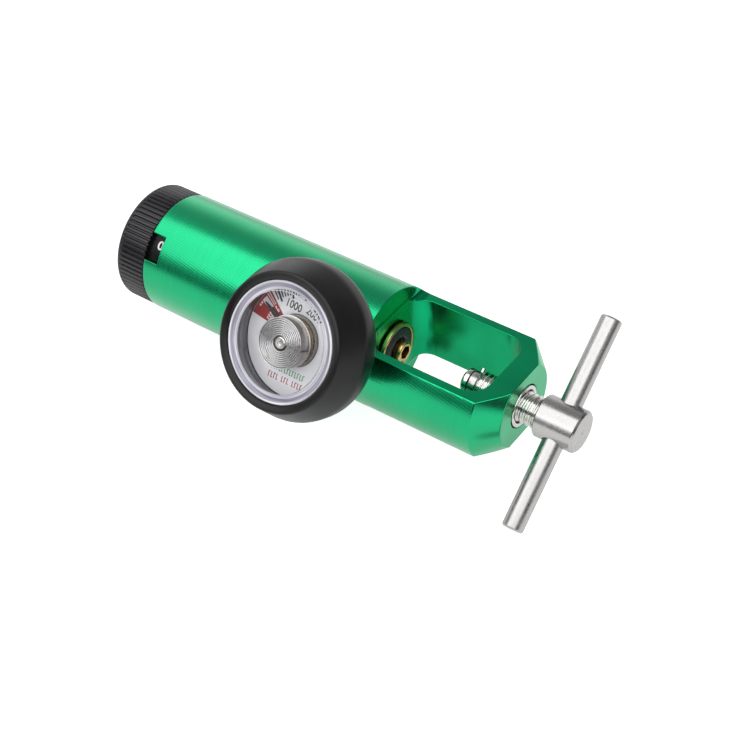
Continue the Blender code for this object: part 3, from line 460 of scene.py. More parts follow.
SLOT_LOOKS = {
    "green_anodised": GREEN_MILLED, "stainless": STEEL_INNER, "brass": BRASS,
    "sintered_bronze": BRONZE, "black_rubber": SEAL_RUBBER, "black_plastic": PLASTIC,
    "white_enamel": ENAMEL, "clear_polycarbonate": CLEAR, "nylon": NYLON,
}


# Meshes

def put_in_scene(name, data):
    """A new object in the scene."""
    obj = bpy.data.objects.new(name, data)
    bpy.context.scene.collection.objects.link(obj)
    return obj


def place_mesh(name, shape, looks, space, body, replaced=(), sharp=34.0):
    """Turn a bmesh drawn in the given frame into a piece that rides on a body."""
    shape.transform(Matrix.Scale(MM, 4) @ space)
    mesh = bpy.data.meshes.new(name)
    shape.to_mesh(mesh)
    shape.free()
    for look in looks:
        mesh.materials.append(look)
    mesh.shade_smooth()
    mesh.set_sharp_from_angle(angle=math.radians(sharp))
    obj = put_in_scene(name, mesh)
    if body:
        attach(obj, body)
    if replaced:
        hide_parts(*replaced)
    return obj


def rounded(profile, size):
    """Round the corners of a profile of (along, radius) points, except those on the axis.

    A point's third value, if it has one, is the size of its own corner.
    """
    closed = profile[0][1] > 0.0
    count = len(profile)
    points = []
    for index, point in enumerate(profile):
        here = Vector(point[:2])
        own = point[2] if len(point) > 2 else size
        ends = (index in (0, count - 1)) and not closed
        if here.y == 0.0 or own == 0.0 or ends:
            points.append(here)
            continue
        before = Vector(profile[index - 1][:2]) - here
        after = Vector(profile[(index + 1) % count][:2]) - here
        start = here + before.normalized() * min(own, before.length * 0.48)
        stop = here + after.normalized() * min(own, after.length * 0.48)
        for t in (0.0, 1 / 3, 2 / 3, 1.0):
            points.append(start * (1 - t) ** 2 + here * (2 * t * (1 - t)) + stop * t ** 2)
    return points


def face_outwards(shape):
    """Turn every face of a closed shape outwards."""
    bmesh.ops.recalc_face_normals(shape, faces=shape.faces)


def at_angle(shape, radius, angle, up):
    """A new corner point at a distance and an angle round Z."""
    return shape.verts.new((radius * math.cos(angle), radius * math.sin(angle), up))


def band(shape, first, second, is_closed=True):
    """Faces between two rows of the same number of corner points."""
    count = len(first)
    for k in range(count if is_closed else count - 1):
        after = (k + 1) % count
        shape.faces.new((first[k], first[after], second[after], second[k]))


def lathe(profile, steps, size=EDGE):
    """A solid turned about Z from a profile, which is closed unless it starts on the axis."""
    shape = bmesh.new()
    rings = []
    for along, radius in rounded(profile, size):
        if radius < 0.000001:
            rings.append([shape.verts.new((0.0, 0.0, along))])
            continue
        rings.append([at_angle(shape, radius, math.tau * k / steps, along)
                      for k in range(steps)])
    pairs = list(zip(rings, rings[1:]))
    if profile[0][1] > 0.0:
        pairs.append((rings[-1], rings[0]))
    for first, second in pairs:
        for k in range(steps):
            after = (k + 1) % steps
            corners = []
            for vert in (first[k % len(first)], first[after % len(first)],
                         second[after % len(second)], second[k % len(second)]):
                if vert not in corners:
                    corners.append(vert)
            if len(corners) > 2:
                shape.faces.new(corners)
    face_outwards(shape)
    return shape


def turned(name, profile, look, space, body, replaced=(), steps=96, size=EDGE):
    """A turned piece of one material."""
    return place_mesh(name, lathe(profile, steps, size), [look], space, body, replaced)


def box_shape(low, high, round_r=0.0, is_rounded=None, pieces=10):
    """A box between two corners, with the edges that is_rounded picks made round."""
    shape = bmesh.new()
    size = [high[axis] - low[axis] for axis in range(3)]
    centre = [(high[axis] + low[axis]) / 2 for axis in range(3)]
    bmesh.ops.create_cube(shape, size=1.0, matrix=Matrix.Translation(centre)
                          @ Matrix.Diagonal((*size, 1.0)))
    if is_rounded:
        picked = [edge for edge in shape.edges if is_rounded(edge)]
        bmesh.ops.bevel(shape, geom=picked, offset=round_r, segments=pieces, profile=0.5,
                        affect='EDGES')
    return shape


def rod_shape(low, high, radius, place=(0.0, 0.0), steps=64):
    """A round bar along Z, or with few steps a prism."""
    shape = bmesh.new()
    middle = Matrix.Translation((place[0], place[1], (low + high) / 2))
    bmesh.ops.create_cone(shape, cap_ends=True, segments=steps, radius1=radius, radius2=radius,
                          depth=high - low, matrix=middle)
    return shape


def carve(obj, shape, space, operation='DIFFERENCE'):
    """Cut a shape out of a piece, or join it on, for good."""
    tool = place_mesh("carving_tool", shape, [], space, None)
    step = obj.modifiers.new("carve", 'BOOLEAN')
    step.operation = operation
    step.solver = 'EXACT'
    step.object = tool
    bake(obj)
    bpy.data.objects.remove(tool, do_unlink=True)


def bake(obj):
    """Apply a piece's modifiers to its mesh."""
    evaluated = obj.evaluated_get(bpy.context.evaluated_depsgraph_get())
    mesh = bpy.data.meshes.new_from_object(evaluated)
    obj.modifiers.clear()
    obj.data = mesh


def pick_second_look(obj, space, is_picked):
    """Give faces their second material by their distance from a frame's axis and their height."""
    to_space = space.inverted()
    for face in obj.data.polygons:
        centre = to_space @ (face.center / MM)
        face.material_index = int(is_picked(math.hypot(centre.x, centre.y), centre.z))


def soften_edges(obj, width, angle=28.0):
    """A narrow round along every edge sharper than the angle."""
    weld = obj.modifiers.new("weld", 'WELD')
    weld.merge_threshold = 0.00001
    flat = obj.modifiers.new("flat", 'DECIMATE')
    flat.decimate_type = 'DISSOLVE'
    flat.angle_limit = math.radians(0.3)
    bevel = obj.modifiers.new("edge", 'BEVEL')
    bevel.width = width * MM
    bevel.segments = 2
    bevel.limit_method = 'ANGLE'
    bevel.angle_limit = math.radians(angle)
    bevel.use_clamp_overlap = False
    bevel.miter_outer = 'MITER_ARC'
    bake(obj)
    merge_back_steps(obj)
    even = obj.modifiers.new("even_normals", 'WEIGHTED_NORMAL')
    even.keep_sharp = True
    bake(obj)


def merge_back_steps(obj):
    """Merge the short back-steps that rounding leaves in the outlines of the large faces."""
    shape = bmesh.new()
    shape.from_mesh(obj.data)
    merged = {}
    for face in shape.faces:
        if face.calc_area() < BIG_FACE:
            continue
        for loop in face.loops:
            after = loop.link_loop_next
            step = after.vert.co - loop.vert.co
            came = loop.vert.co - loop.link_loop_prev.vert.co
            leaves = after.link_loop_next.vert.co - after.vert.co
            is_back = min(step.dot(came), step.dot(leaves)) < 0.0
            is_free = after.vert not in merged and loop.vert not in merged
            if is_back and is_free and step.length < SHORT_STEP:
                merged[after.vert] = loop.vert
    bmesh.ops.weld_verts(shape, targetmap=merged)
    shape.to_mesh(obj.data)
    shape.free()


def is_upright(edge):
    """Whether an edge runs along Z."""
    first, second = edge.verts
    return abs(first.co.x - second.co.x) + abs(first.co.y - second.co.y) < 0.1


def is_fillet_edge(edge):
    """Whether an edge is the one between a flat and its step."""
    return all(abs(vert.co.x - STEP_X) < 0.1 and abs(vert.co.z - FLAT_HALF) < 0.1
               for vert in edge.verts)


def body_looks(obj):
    """The tube keeps its stripes, the cone and end are faced, and flats, slot and holes milled."""
    for face in obj.data.polygons:
        centre = face.center / MM
        out = math.hypot(centre.y, centre.z)
        radial = (face.normal.y * centre.y + face.normal.z * centre.z) / max(out, 0.001)
        is_outside = out > 17.0 and radial > 0.85 and abs(face.normal.x) < 0.3
        is_cone = centre.x > 38.0 and radial > 0.5 and face.normal.x > 0.4
        is_end = face.normal.x > 0.9 and centre.x > BODY_RIGHT - 0.5
        if is_cone or is_end:
            face.material_index = 2
        else:
            face.material_index = 0 if is_outside else 1


def build_body():
    """Tube, solid middle and yoke, in one piece."""
    past = BODY_R + 4.0
    profile = [(BODY_RIGHT, BODY_R - NOSE_CHAMFER, 0.0), (BODY_RIGHT - NOSE_CHAMFER, BODY_R, 0.0),
               (BODY_LEFT + 0.3, BODY_R, 0.2), (BODY_LEFT, BODY_R - 0.3, 0.2),
               (BODY_LEFT, DRUM_BORE_R, 0.1), (DRUM_BORE_X, DRUM_BORE_R, 0.1),
               (DRUM_BORE_X, BORE_R, 0.1), (-21.0, BORE_R, 0.1), (-21.0, 1.5, 0.0),
               (-9.3, 1.5, 0.0), (-9.3, 4.3, 0.0), (18.9, 4.3, 0.0), (18.9, 6.8, 0.0),
               (BODY_RIGHT, 6.8, 0.0)]
    looks = [GREEN_TURNED, GREEN_MILLED, GREEN_FACED]
    body = place_mesh("body_shell", lathe(profile, 224), looks, BODY, "body",
                      ("yoke_body",))
    carve(body, box_shape((0.0, -SLOT_HALF, -past), (SLOT_END, SLOT_HALF, past), SLOT_CORNER,
                          is_upright, 14), WORLD)
    for half_turn in (0.0, 180.0):
        carve(body, box_shape((STEP_X, -past, FLAT_HALF), (BODY_RIGHT + 4.0, past, past),
                              STEP_FILLET, is_fillet_edge, 10),
              Matrix.Rotation(math.radians(half_turn), 4, 'X'))
    middle = (WINDOW_FROM_DEG + WINDOW_TO_DEG) / 2
    half = BODY_R * math.sin(math.radians((WINDOW_TO_DEG - WINDOW_FROM_DEG) / 2))
    carve(body, box_shape((-4.0, -half, 12.5), (WINDOW_DEPTH, half, past)),
          across(BODY_LEFT, middle))
    vent, set_screw_hole = across(-33.0, 250.0), across(-66.2, GAUGE_DEG + 180.0)
    for space, low, radius, steps in (
            (GAUGE, 9.0, GAUGE_PORT_R, 64), (GAUGE, 18.0, 8.2, 96),
            (OUTLET, 12.0, OUTLET_PORT_R, 48), (OUTLET, 17.9, 7.2, 96),
            (vent, 12.0, 0.8, 32), (set_screw_hole, 12.0, 1.8, 48)):
        carve(body, rod_shape(low, past, radius, steps=steps), space)
    for side in (1.0, -1.0):
        angle = math.radians(PIN_HALF_DEG * side)
        place = (PIN_CIRCLE_R * math.cos(angle), PIN_CIRCLE_R * math.sin(angle))
        carve(body, rod_shape(-6.3, 2.0, PIN_HOLE_R, place, 48), BODY)
    soften_edges(body, 0.22)
    body_looks(body)


def build_inlet():
    """Nipple with its socket and the bonded washer round it."""
    shape = lathe([
        (4.2, 2.0, 0.0), (4.2, 2.75, 0.1), (3.82, 3.1, 0.15), (2.95, 3.1, 0.12),
        (2.6, 2.8, 0.1), (-0.1, 2.8, 0.0), (-0.5, 4.0, 0.1), (-9.0, 4.0), (-9.0, 2.0),
        (-1.5, 2.0, 0.0), (-1.5, 1.2, 0.0), (-0.5, 1.2, 0.0), (-0.5, 2.0, 0.0)], 96)
    for vert in shape.verts:
        out = math.hypot(vert.co.x, vert.co.y)
        if vert.co.z > -0.6 and 1.5 < out < 2.1:
            turn = math.atan2(vert.co.y, vert.co.x) % math.radians(60.0) - math.radians(30.0)
            vert.co.xy *= 2.3 * math.cos(math.radians(30.0)) / math.cos(turn) / out
    nipple = place_mesh("nipple", shape, [BRASS, BRASS_PAINTED_SHADE], BODY, "body",
                        ("inlet_nipple",), 30.0)
    # Faces inside the bore and socket take the darker brass, painted shade for the dark bore.
    pick_second_look(nipple, BODY, lambda out, up: up < 4.1 and out < 2.35)
    turned("washer_ring", [
        (1.75, 7.1), (1.75, 8.35), (0.5, 8.35), (0.5, 7.1)], PLATED, BODY, "body",
        ("seal_washer_ring",), 128, 0.3)
    turned("washer_rubber", [
        (2.15, 4.2, 0.4), (2.15, 5.3, 0.5), (1.75, 6.5, 0.4), (1.45, 6.8), (0.65, 6.8),
        (0.65, 3.6), (1.45, 3.6, 0.3)], SEAL_RUBBER, BODY, "body",
        ("seal_washer_rubber",), 128)


def thread_radius(phase):
    """Radius of a 60 degree thread with a rounded crest, by the share of its pitch."""
    share = abs((phase % 1.0) - 0.5) * 2.0
    rise = min(max((share - 0.14) / 0.72, 0.0), 1.0)
    soft = rise * rise * (3.0 - 2.0 * rise) * 0.5 + rise * 0.5
    return SCREW_ROOT_R + (SCREW_CREST_R - SCREW_ROOT_R) * soft


def build_thread():
    """The screw's right-hand thread, from the neck to the hub."""
    steps, per_pitch = 72, 12
    length = HUB_FROM - THREAD_FROM
    rows = int(math.ceil(length / THREAD_PITCH) + 1) * per_pitch
    shape = bmesh.new()
    grid = []
    for row in range(rows + 1):
        ring = []
        for k in range(steps + 1):
            turn = k / steps
            along = THREAD_FROM + THREAD_PITCH * (row / per_pitch - turn)
            along = min(max(along, THREAD_FROM), HUB_FROM + 0.1)
            radius = thread_radius((along - THREAD_FROM) / THREAD_PITCH + turn)
            run_out = min(max((along - THREAD_FROM) / 0.9, 0.0), 1.0)
            radius = min(radius, SCREW_ROOT_R + (SCREW_CREST_R - SCREW_ROOT_R) * run_out)
            ring.append(at_angle(shape, radius, math.tau * turn, along))
        grid.append(ring)
    for first, second in zip(grid, grid[1:]):
        band(shape, first, second, False)
    bmesh.ops.remove_doubles(shape, verts=shape.verts, dist=0.0005)
    bmesh.ops.dissolve_degenerate(shape, edges=shape.edges, dist=0.0004)
    face_outwards(shape)
    place_mesh("screw_thread", shape, [STEEL_THREAD], BODY, "screw_and_handle",
               sharp=70.0)


def build_clamp():
    """Insert, screw with hub, thread, tip and tee bar."""
    lip = BODY_RIGHT + 0.3
    turned("insert_lip", [
        (lip, 5.25, 0.25), (lip, 6.45, 0.35), (SLOT_END + 0.3, 6.5), (SLOT_END + 0.3, 5.0, 0.3)],
        STEEL_THREAD, BODY, "body", ("thread_insert",))
    turned("screw_tip_cap", [
        (27.45, 1.9), (27.45, 4.1, 0.25), (26.1, 4.1, 0.2), (25.0, 2.6, 0.2), (25.0, 0.0),
        (25.7, 0.0), (25.7, 2.5), (26.95, 2.5), (26.95, 1.9)], STEEL_THREAD, BODY, "screw_tip",
        ("swivel_tip",))
    hub = turned("screw_hub", [
        (HUB_TO - 0.3, 0.0), (HUB_TO - 0.26, 0.45, 0.15), (HUB_TO, 0.9, 0.15),
        (HUB_TO, HUB_R - 0.7, 0.12), (HUB_TO - 0.7, HUB_R, 0.14), (HUB_FROM + 0.35, HUB_R, 0.15),
        (HUB_FROM, HUB_R - 0.35, 0.15), (HUB_FROM, 3.9, 0.0), (THREAD_FROM, 3.9, 0.0),
        (THREAD_FROM, 4.0, 0.1), (27.75, 4.0), (27.75, 1.6), (26.65, 1.6, 0.0), (26.65, 2.2),
        (26.0, 2.2), (26.0, 0.0)], STEEL_HUB, BODY, "screw_and_handle",
        ("clamp_screw",), 128)
    carve(hub, rod_shape(-10.0, 10.0, 3.45, steps=96), TEE)
    carve(hub, rod_shape(-8.0, 8.0, 0.7, steps=24), STOP)
    soften_edges(hub, 0.12, 40.0)
    build_thread()
    turned("tee_rod", [
        (TEE_HALF, 0.0), (TEE_HALF, TEE_R - 0.5, 0.15), (TEE_HALF - 0.5, TEE_R, 0.2),
        (0.5 - TEE_HALF, TEE_R, 0.2), (-TEE_HALF, TEE_R - 0.5, 0.15), (-TEE_HALF, 0.0)],
        STEEL_BAR, TEE, "screw_and_handle", ("tee_bar",))
    turned("stop_pin_rod", [
        (5.2, 0.0), (5.2, 0.6, 0.15), (-5.2, 0.6, 0.15), (-5.2, 0.0)], STEEL_THREAD, STOP,
        "screw_and_handle", ("stop_pin",), 32)


def rib_depth(share):
    """Depth of the groove at a share of a rib's pitch: a flat rib top, round groove."""
    away = abs(share - 0.5) * 2.0
    rise = min(max((away - 0.38) / 0.42, 0.0), 1.0)
    return rise * rise * (3.0 - 2.0 * rise)


def build_knob():
    """Ribbed knob in one moulding with its numbered drum, and the cap on its end."""
    per_rib = 10
    steps = RIB_COUNT * per_rib
    rows = [(KNOB_RIGHT, KNOB_R - 0.18, 1.0), (KNOB_RIGHT - 0.12, KNOB_R - 0.0491, 1.0),
            (KNOB_RIGHT - 0.35, KNOB_R, 1.0), (-91.2, KNOB_R, 1.0), (-91.45, KNOB_R, 0.75),
            (-91.62, KNOB_R, 0.2), (-91.7, KNOB_R, 0.0)]
    for index in range(9):
        angle = math.radians(90.0 * index / 8)
        rows.append((KNOB_LEFT + KNOB_ROUND * (1.0 - math.sin(angle)),
                     KNOB_R - KNOB_ROUND * (1.0 - math.cos(angle)), 0.0))
    shape = bmesh.new()
    rings = []
    for along, radius, ribbed in rows:
        ring = []
        for k in range(steps):
            depth = RIB_DEPTH * ribbed * rib_depth((k % per_rib) / per_rib)
            ring.append(at_angle(shape, radius - depth, math.tau * k / steps, along))
        rings.append(ring)
    for along, radius in ((KNOB_LEFT, 9.75), (KNOB_LEFT + 0.15, 9.6), (KNOB_LEFT + 1.8, 9.6),
                          (KNOB_LEFT + 1.8, 4.2), (-84.5, 4.2), (-84.5, 3.1), (-69.8, 3.1),
                          (-69.8, 12.0), (-86.0, 12.0), (-86.0, 15.6), (DRUM_RIGHT, 15.6),
                          (DRUM_RIGHT, DRUM_R - 0.15), (DRUM_RIGHT - 0.15, DRUM_R),
                          (KNOB_RIGHT, DRUM_R)):
        rings.append([at_angle(shape, radius, math.tau * k / steps, along)
                      for k in range(0, steps, per_rib // 2)])
    for first, second in zip(rings, rings[1:] + rings[:1]):
        if len(first) == len(second):
            band(shape, first, second)
            continue
        many, few = (first, second) if len(first) > len(second) else (second, first)
        ratio = len(many) // len(few)
        for k in range(len(few)):
            span = [many[(k * ratio + step) % len(many)] for step in range(ratio + 1)]
            shape.faces.new(span + [few[(k + 1) % len(few)], few[k]])
    face_outwards(shape)
    knob = place_mesh("ribbed_knob", shape, [PLASTIC, DRUM_PLASTIC], BODY, "flow_selector",
                      ("flow_knob",), 40.0)
    pick_second_look(knob, BODY, lambda out, up: up > KNOB_RIGHT - 0.01)
    turned("end_cap", [
        (-91.7, 0.0), (-91.7, 9.3), (KNOB_LEFT, 9.3, 0.35), (KNOB_LEFT, 7.6, 0.1),
        (KNOB_LEFT + 0.25, 7.35, 0.1), (KNOB_LEFT + 0.25, 0.0)], PLASTIC, BODY, "flow_selector",
        ("knob_end_cap",), 128)
    build_drum_numbers()


def lettering(text, height, bold):
    """Flat outlines of plain figures, centred on the origin, as a bmesh of thin solids."""
    curve = bpy.data.curves.new("figures", 'FONT')
    curve.body = text
    curve.align_x = 'CENTER'
    curve.align_y = 'CENTER'
    curve.size = height * 1.4
    curve.resolution_u = 6
    curve.extrude = 0.012
    curve.offset = bold
    holder = put_in_scene("figures", curve)
    evaluated = holder.evaluated_get(bpy.context.evaluated_depsgraph_get())
    mesh = bpy.data.meshes.new_from_object(evaluated)
    shape = bmesh.new()
    shape.from_mesh(mesh)
    bpy.data.objects.remove(holder, do_unlink=True)
    bmesh.ops.remove_doubles(shape, verts=shape.verts, dist=0.0005)
    return shape


def gather(name, shapes, look, space, body):
    """Join several bmeshes into one piece."""
    total = bmesh.new()
    for shape in shapes:
        mesh = bpy.data.meshes.new("gathered")
        shape.to_mesh(mesh)
        shape.free()
        total.from_mesh(mesh)
        bpy.data.meshes.remove(mesh)
    return place_mesh(name, total, [look], space, body, sharp=30.0)


def build_drum_numbers():
    """White figures wrapped round the drum, with zero in the window at rest."""
    shapes = []
    for index, text in enumerate(DRUM_NUMBERS):
        shape = lettering(text, 2.8, 0.07)
        middle = math.radians(DRUM_ZERO_DEG + 360.0 * index / len(DRUM_NUMBERS))
        for vert in shape.verts:
            narrow = 1.15 if len(text) == 1 else 0.62
            along = DRUM_ZERO_X + vert.co.x * narrow
            angle = middle + vert.co.y / DRUM_R
            radius = DRUM_R + 0.015 + vert.co.z
            vert.co = (along, -radius * math.cos(angle), radius * math.sin(angle))
        shapes.append(shape)
    gather("drum_numbers", shapes, PRINT_WHITE, WORLD, "flow_selector")


def build_case():
    """Stem, case, boot and window of the contents gauge."""
    stem = turned("gauge_stem_fitting", [
        (30.6, 0.0), (30.6, 3.0), (26.5, 3.0, 0.0), (26.5, 4.9), (9.5, 4.9), (9.5, 0.0)],
        BRASS, GAUGE, "body", ("gauge_stem",))
    carve(stem, rod_shape(18.3, 22.5, 7.3, steps=6), GAUGE, 'UNION')
    soften_edges(stem, 0.2)
    turned("gauge_shell", [
        (40.3, 16.7), (40.3, 18.3), (27.7, 18.3, 0.3), (26.9, 17.5, 0.3), (26.9, 5.3),
        (27.9, 5.3), (27.9, 15.4), (33.3, 15.4), (33.3, 16.7)], CASE_GREY, GAUGE, "body",
        ("gauge_case",), 160)
    turned("boot", [
        (42.35, 17.25, 0.2), (43.0, 17.75, 0.3), (43.45, 19.1, 0.25), (43.05, 19.8, 0.3),
        (34.2, 23.22, 1.2), (29.2, 22.92, 1.6), (26.8, 21.52, 1.2), (25.6, 19.42, 1.0),
        (25.6, 6.0, 0.3), (26.6, 6.0), (26.6, 18.6), (42.05, 18.6, 0.0), (42.05, 17.25, 0.0)],
        RUBBER, GAUGE, "body", ("gauge_boot",), 192)
    dome = [(WINDOW_TOP - 0.6 * (radius / 16.3) ** 2, radius, 0.0) for radius in
            (0.0, 1.5, 3.0, 5.0, 7.0, 9.0, 11.0, 13.0, WINDOW_R)]
    side = [(42.8, WINDOW_R + 0.15, 0.0), (42.25, WINDOW_R + 0.15, 0.0)]
    under = [(along - WINDOW_THICK, radius, 0.0) for along, radius, own in reversed(dome)]
    window = turned("gauge_window", dome + side + under, CLEAR, GAUGE, "body",
                    ("gauge_lens",), 160)
    # The window's edge takes the rim's whitish painted highlight.
    window.data.materials.append(RIM_PAINTED_HIGHLIGHT)
    shape = lathe([
        (42.55, 17.15, 0.0), (42.65, 16.95, 0.0), (42.6, 16.6, 0.0), (42.25, 16.0, 0.0),
        (42.05, 15.4, 0.0), (41.85, 14.85, 0.0), (41.75, 14.65, 0.0), (41.4, 14.65, 0.0),
        (41.0, 16.0, 0.0), (41.0, 17.9, 0.0), (41.95, 17.9, 0.0), (41.95, 17.15, 0.0)], 192)
    # The rim is whitish painted highlight, with the grey painted reflection on its middle band.
    rim = place_mesh("window_rim", shape, [RIM_PAINTED_HIGHLIGHT, RIM_PAINTED_REFLECTION], GAUGE, "body")
    pick_second_look(rim, GAUGE, lambda out, up: RIM_REFLECTION_FROM_R < out < RIM_REFLECTION_TO_R)
    pick_second_look(window, GAUGE, lambda out, up: out > WINDOW_R + 0.02)


def sector(from_deg, to_deg, inner, outer, low, high):
    """A flat ring sector between two heights."""
    shape = bmesh.new()
    count = max(1, int(abs(to_deg - from_deg) / 2))
    columns = []
    for index in range(count + 1):
        angle = math.radians(from_deg + (to_deg - from_deg) * index / count)
        columns.append([at_angle(shape, radius, angle, up) for radius, up in
                        ((inner, low), (outer, low), (outer, high), (inner, high))])
    for first, second in zip(columns, columns[1:]):
        band(shape, first, second)
    shape.faces.new(columns[0])
    shape.faces.new(reversed(columns[-1]))
    face_outwards(shape)
    return shape


def stroke(degrees, inner, outer, width, low, high):
    """A straight radial bar."""
    shape = box_shape((inner, -width / 2, low), (outer, width / 2, high))
    shape.transform(Matrix.Rotation(math.radians(degrees), 4, 'Z'))
    return shape


def build_dial():
    """White dial with its low zone, scale and plain figures."""
    turned("dial_face", [
        (DIAL_FACE, DIAL_HOLE_R, 0.1), (DIAL_FACE, DIAL_R, 0.05), (DIAL_FACE - 0.4, DIAL_R, 0.05),
        (DIAL_FACE - 0.4, DIAL_HOLE_R, 0.1)], ENAMEL, GAUGE, "body",
        ("dial_plate",), 192)
    low = DIAL_FACE + PRINT_UP
    high = low + PRINT_STEP
    top = high + PRINT_STEP
    zone = [sector(139.5, 171.4, DIAL_HOLE_R + 0.15, DIAL_R - 0.1, low, high)]
    print_on_dial("dial_low_zone", zone, PRINT_RED)
    white = ((147.4, 154.6, 11.9, 15.5), (144.6, 145.7, 11.9, 16.0), (142.0, 143.1, 11.9, 16.0),
             (155.6, 157.8, 14.9, 15.5), (158.8, 161.0, 14.9, 15.5))
    print_on_dial("dial_zero_box", [sector(*limits, high, top) for limits in white], PRINT_WHITE)
    letters = []
    for middle in (165.8, 161.6, 157.4, 144.2):
        for degrees, inner, outer in ((middle + 1.1, 9.6, 11.5), (middle - 0.9, 9.6, 10.5),
                                      (middle - 0.4, 11.0, 11.5)):
            letters.append(stroke(degrees, inner, outer, 0.26, high, top))
    print_on_dial("dial_zone_marks", letters, PRINT_WHITE)
    ticks = []
    for index in range(TICK_COUNT):
        degrees = ZERO_DEG - THOUSAND_DEG * index / 10
        if degrees > FIRST_TICK_DEG:
            continue
        is_long = index % 5 == 0
        inner = LONG_TICK_R if is_long else SHORT_TICK_R
        outer = 15.6 if index <= 10 else 13.4
        ticks.append(stroke(degrees, inner, outer, 0.66 if is_long else 0.42, low, high))
    for text, x, y, lean in (("1000", -3.72, 9.0, -4.0), ("2000", 3.45, 8.7, -16.0)):
        shape = lettering(text, 2.3, 0.05)
        turn = Matrix.Rotation(math.radians(lean), 4, 'Z')
        for vert in shape.verts:
            flat = Vector((vert.co.x * 0.88, vert.co.y, vert.co.z * 0.4))
            vert.co = turn @ flat + Vector((x, y, (low + high) / 2))
        ticks.append(shape)
    print_on_dial("dial_scale", ticks, PRINT_BLACK)
    print_on_dial("dial_green_line", short_strokes(-5.6, -9.3, (), low, high), PRINT_GREEN)
    print_on_dial("dial_red_line", short_strokes(-5.9, -12.0, (4, 8), low, high), PRINT_RED)


def print_on_dial(name, shapes, look):
    """One colour of the dial's print."""
    gather(name, shapes, look, GAUGE, "body")


def short_strokes(start, y, gaps, low, high):
    """A row of short upright strokes that stands for a line of print, with gaps between words."""
    count, height, stop = 13, 1.7, 6.1
    shapes = []
    for index in range(count):
        if index in gaps:
            continue
        x = start + (stop - start) * (index + 0.5) / count
        shapes.append(box_shape((x - 0.3, y - height / 2, low), (x - 0.02, y + height / 2, high)))
        foot = y - height / 2 if index % 2 else y + height / 2 - 0.24
        shapes.append(box_shape((x - 0.04, foot, low), (x + 0.32, foot + 0.24, high)))
    return shapes


def build_movement():
    """Spiral sensing tube, post, cup and pointer."""
    turned("coil_cup_shell", [
        (38.0, 5.9, 0.1), (38.0, 6.4, 0.15), (31.2, 6.4), (31.2, 1.8), (31.7, 1.8),
        (31.7, 5.9)], TUBE_SIDE, GAUGE, "body", ("coil_cup",), 128)
    turned("cup_band", [
        (35.5, 6.42, 0.05), (35.5, 6.55, 0.05), (33.2, 6.55, 0.05), (33.2, 6.42, 0.05)],
        BRASS, GAUGE, "body", (), 128)
    turned("coil_rim", [
        (38.2, 6.6, 0.05), (38.2, 7.45, 0.08), (37.9, 7.45, 0.08), (37.9, 6.6, 0.05)],
        COIL_STEEL, GAUGE, "body", (), 128)
    turned("coil_post_pin", [
        (30.9, 0.0), (30.9, 1.7), (42.0, 1.7, 0.35), (42.0, 0.95, 0.1), (41.3, 0.85, 0.1),
        (41.3, 0.0)], STEEL_THREAD, GAUGE, "body", ("coil_post",), 64)
    turned("dial_collar", [
        (33.3, 6.6, 0.05), (33.3, 7.9, 0.05), (33.0, 7.9, 0.05), (33.0, 6.6, 0.05)],
        COLLAR_GREY, GAUGE, "body", (), 128)
    build_coil()
    turned("pointer_ring", [
        (34.9, 6.8, 0.05), (34.9, 7.4, 0.05), (34.5, 7.4, 0.05), (34.5, 6.8, 0.05)],
        COLLAR_GREY, GAUGE, "gauge_pointer", (), 96)
    arm = bmesh.new()
    outline = [(7.0, -1.05), (11.0, -0.62), (14.1, -0.16), (14.4, 0.0), (14.1, 0.16),
               (11.0, 0.62), (7.0, 1.05)]
    low_ring = [arm.verts.new((x, y, 34.52)) for x, y in outline]
    high_ring = [arm.verts.new((x, y * 0.8, 34.88)) for x, y in outline]
    arm.faces.new(list(reversed(low_ring)))
    arm.faces.new(high_ring)
    band(arm, low_ring, high_ring)
    arm.transform(Matrix.Rotation(math.radians(ZERO_DEG), 4, 'Z'))
    place_mesh("pointer_needle", arm, [POINTER_BLACK], GAUGE, "gauge_pointer",
               ("pointer",), 30.0)


def build_coil():
    """The flattened sensing tube wound in a flat spiral, as one swept band."""
    per_turn, half = 72, COIL_HALF_WALL
    section = []
    for first_deg, middle in ((0.0, COIL_TOP - half), (180.0, COIL_LOW + half)):
        for index in range(7):
            angle = math.radians(first_deg + 30.0 * index)
            section.append((half * math.cos(angle), middle + half * math.sin(angle)))
    shape = bmesh.new()
    rings = []
    count = COIL_TURNS * per_turn
    for index in range(count + 1):
        angle = math.tau * index / per_turn
        radius = COIL_INNER_R + (COIL_OUTER_R - COIL_INNER_R) * index / count
        rings.append([at_angle(shape, radius + out, angle, up) for out, up in section])
    for first, second in zip(rings, rings[1:]):
        band(shape, first, second)
    shape.faces.new(rings[0])
    shape.faces.new(list(reversed(rings[-1])))
    face_outwards(shape)
    coil = place_mesh("coil_windings", shape, [COIL_STEEL, TUBE_SIDE], GAUGE, "body",
                      ("bourdon_spiral",), 60.0)
    # The outer side of the coil takes the darker brown-grey steel.
    pick_second_look(coil, GAUGE, lambda out, up: out > 6.8 and up < COIL_TOP - 0.3)


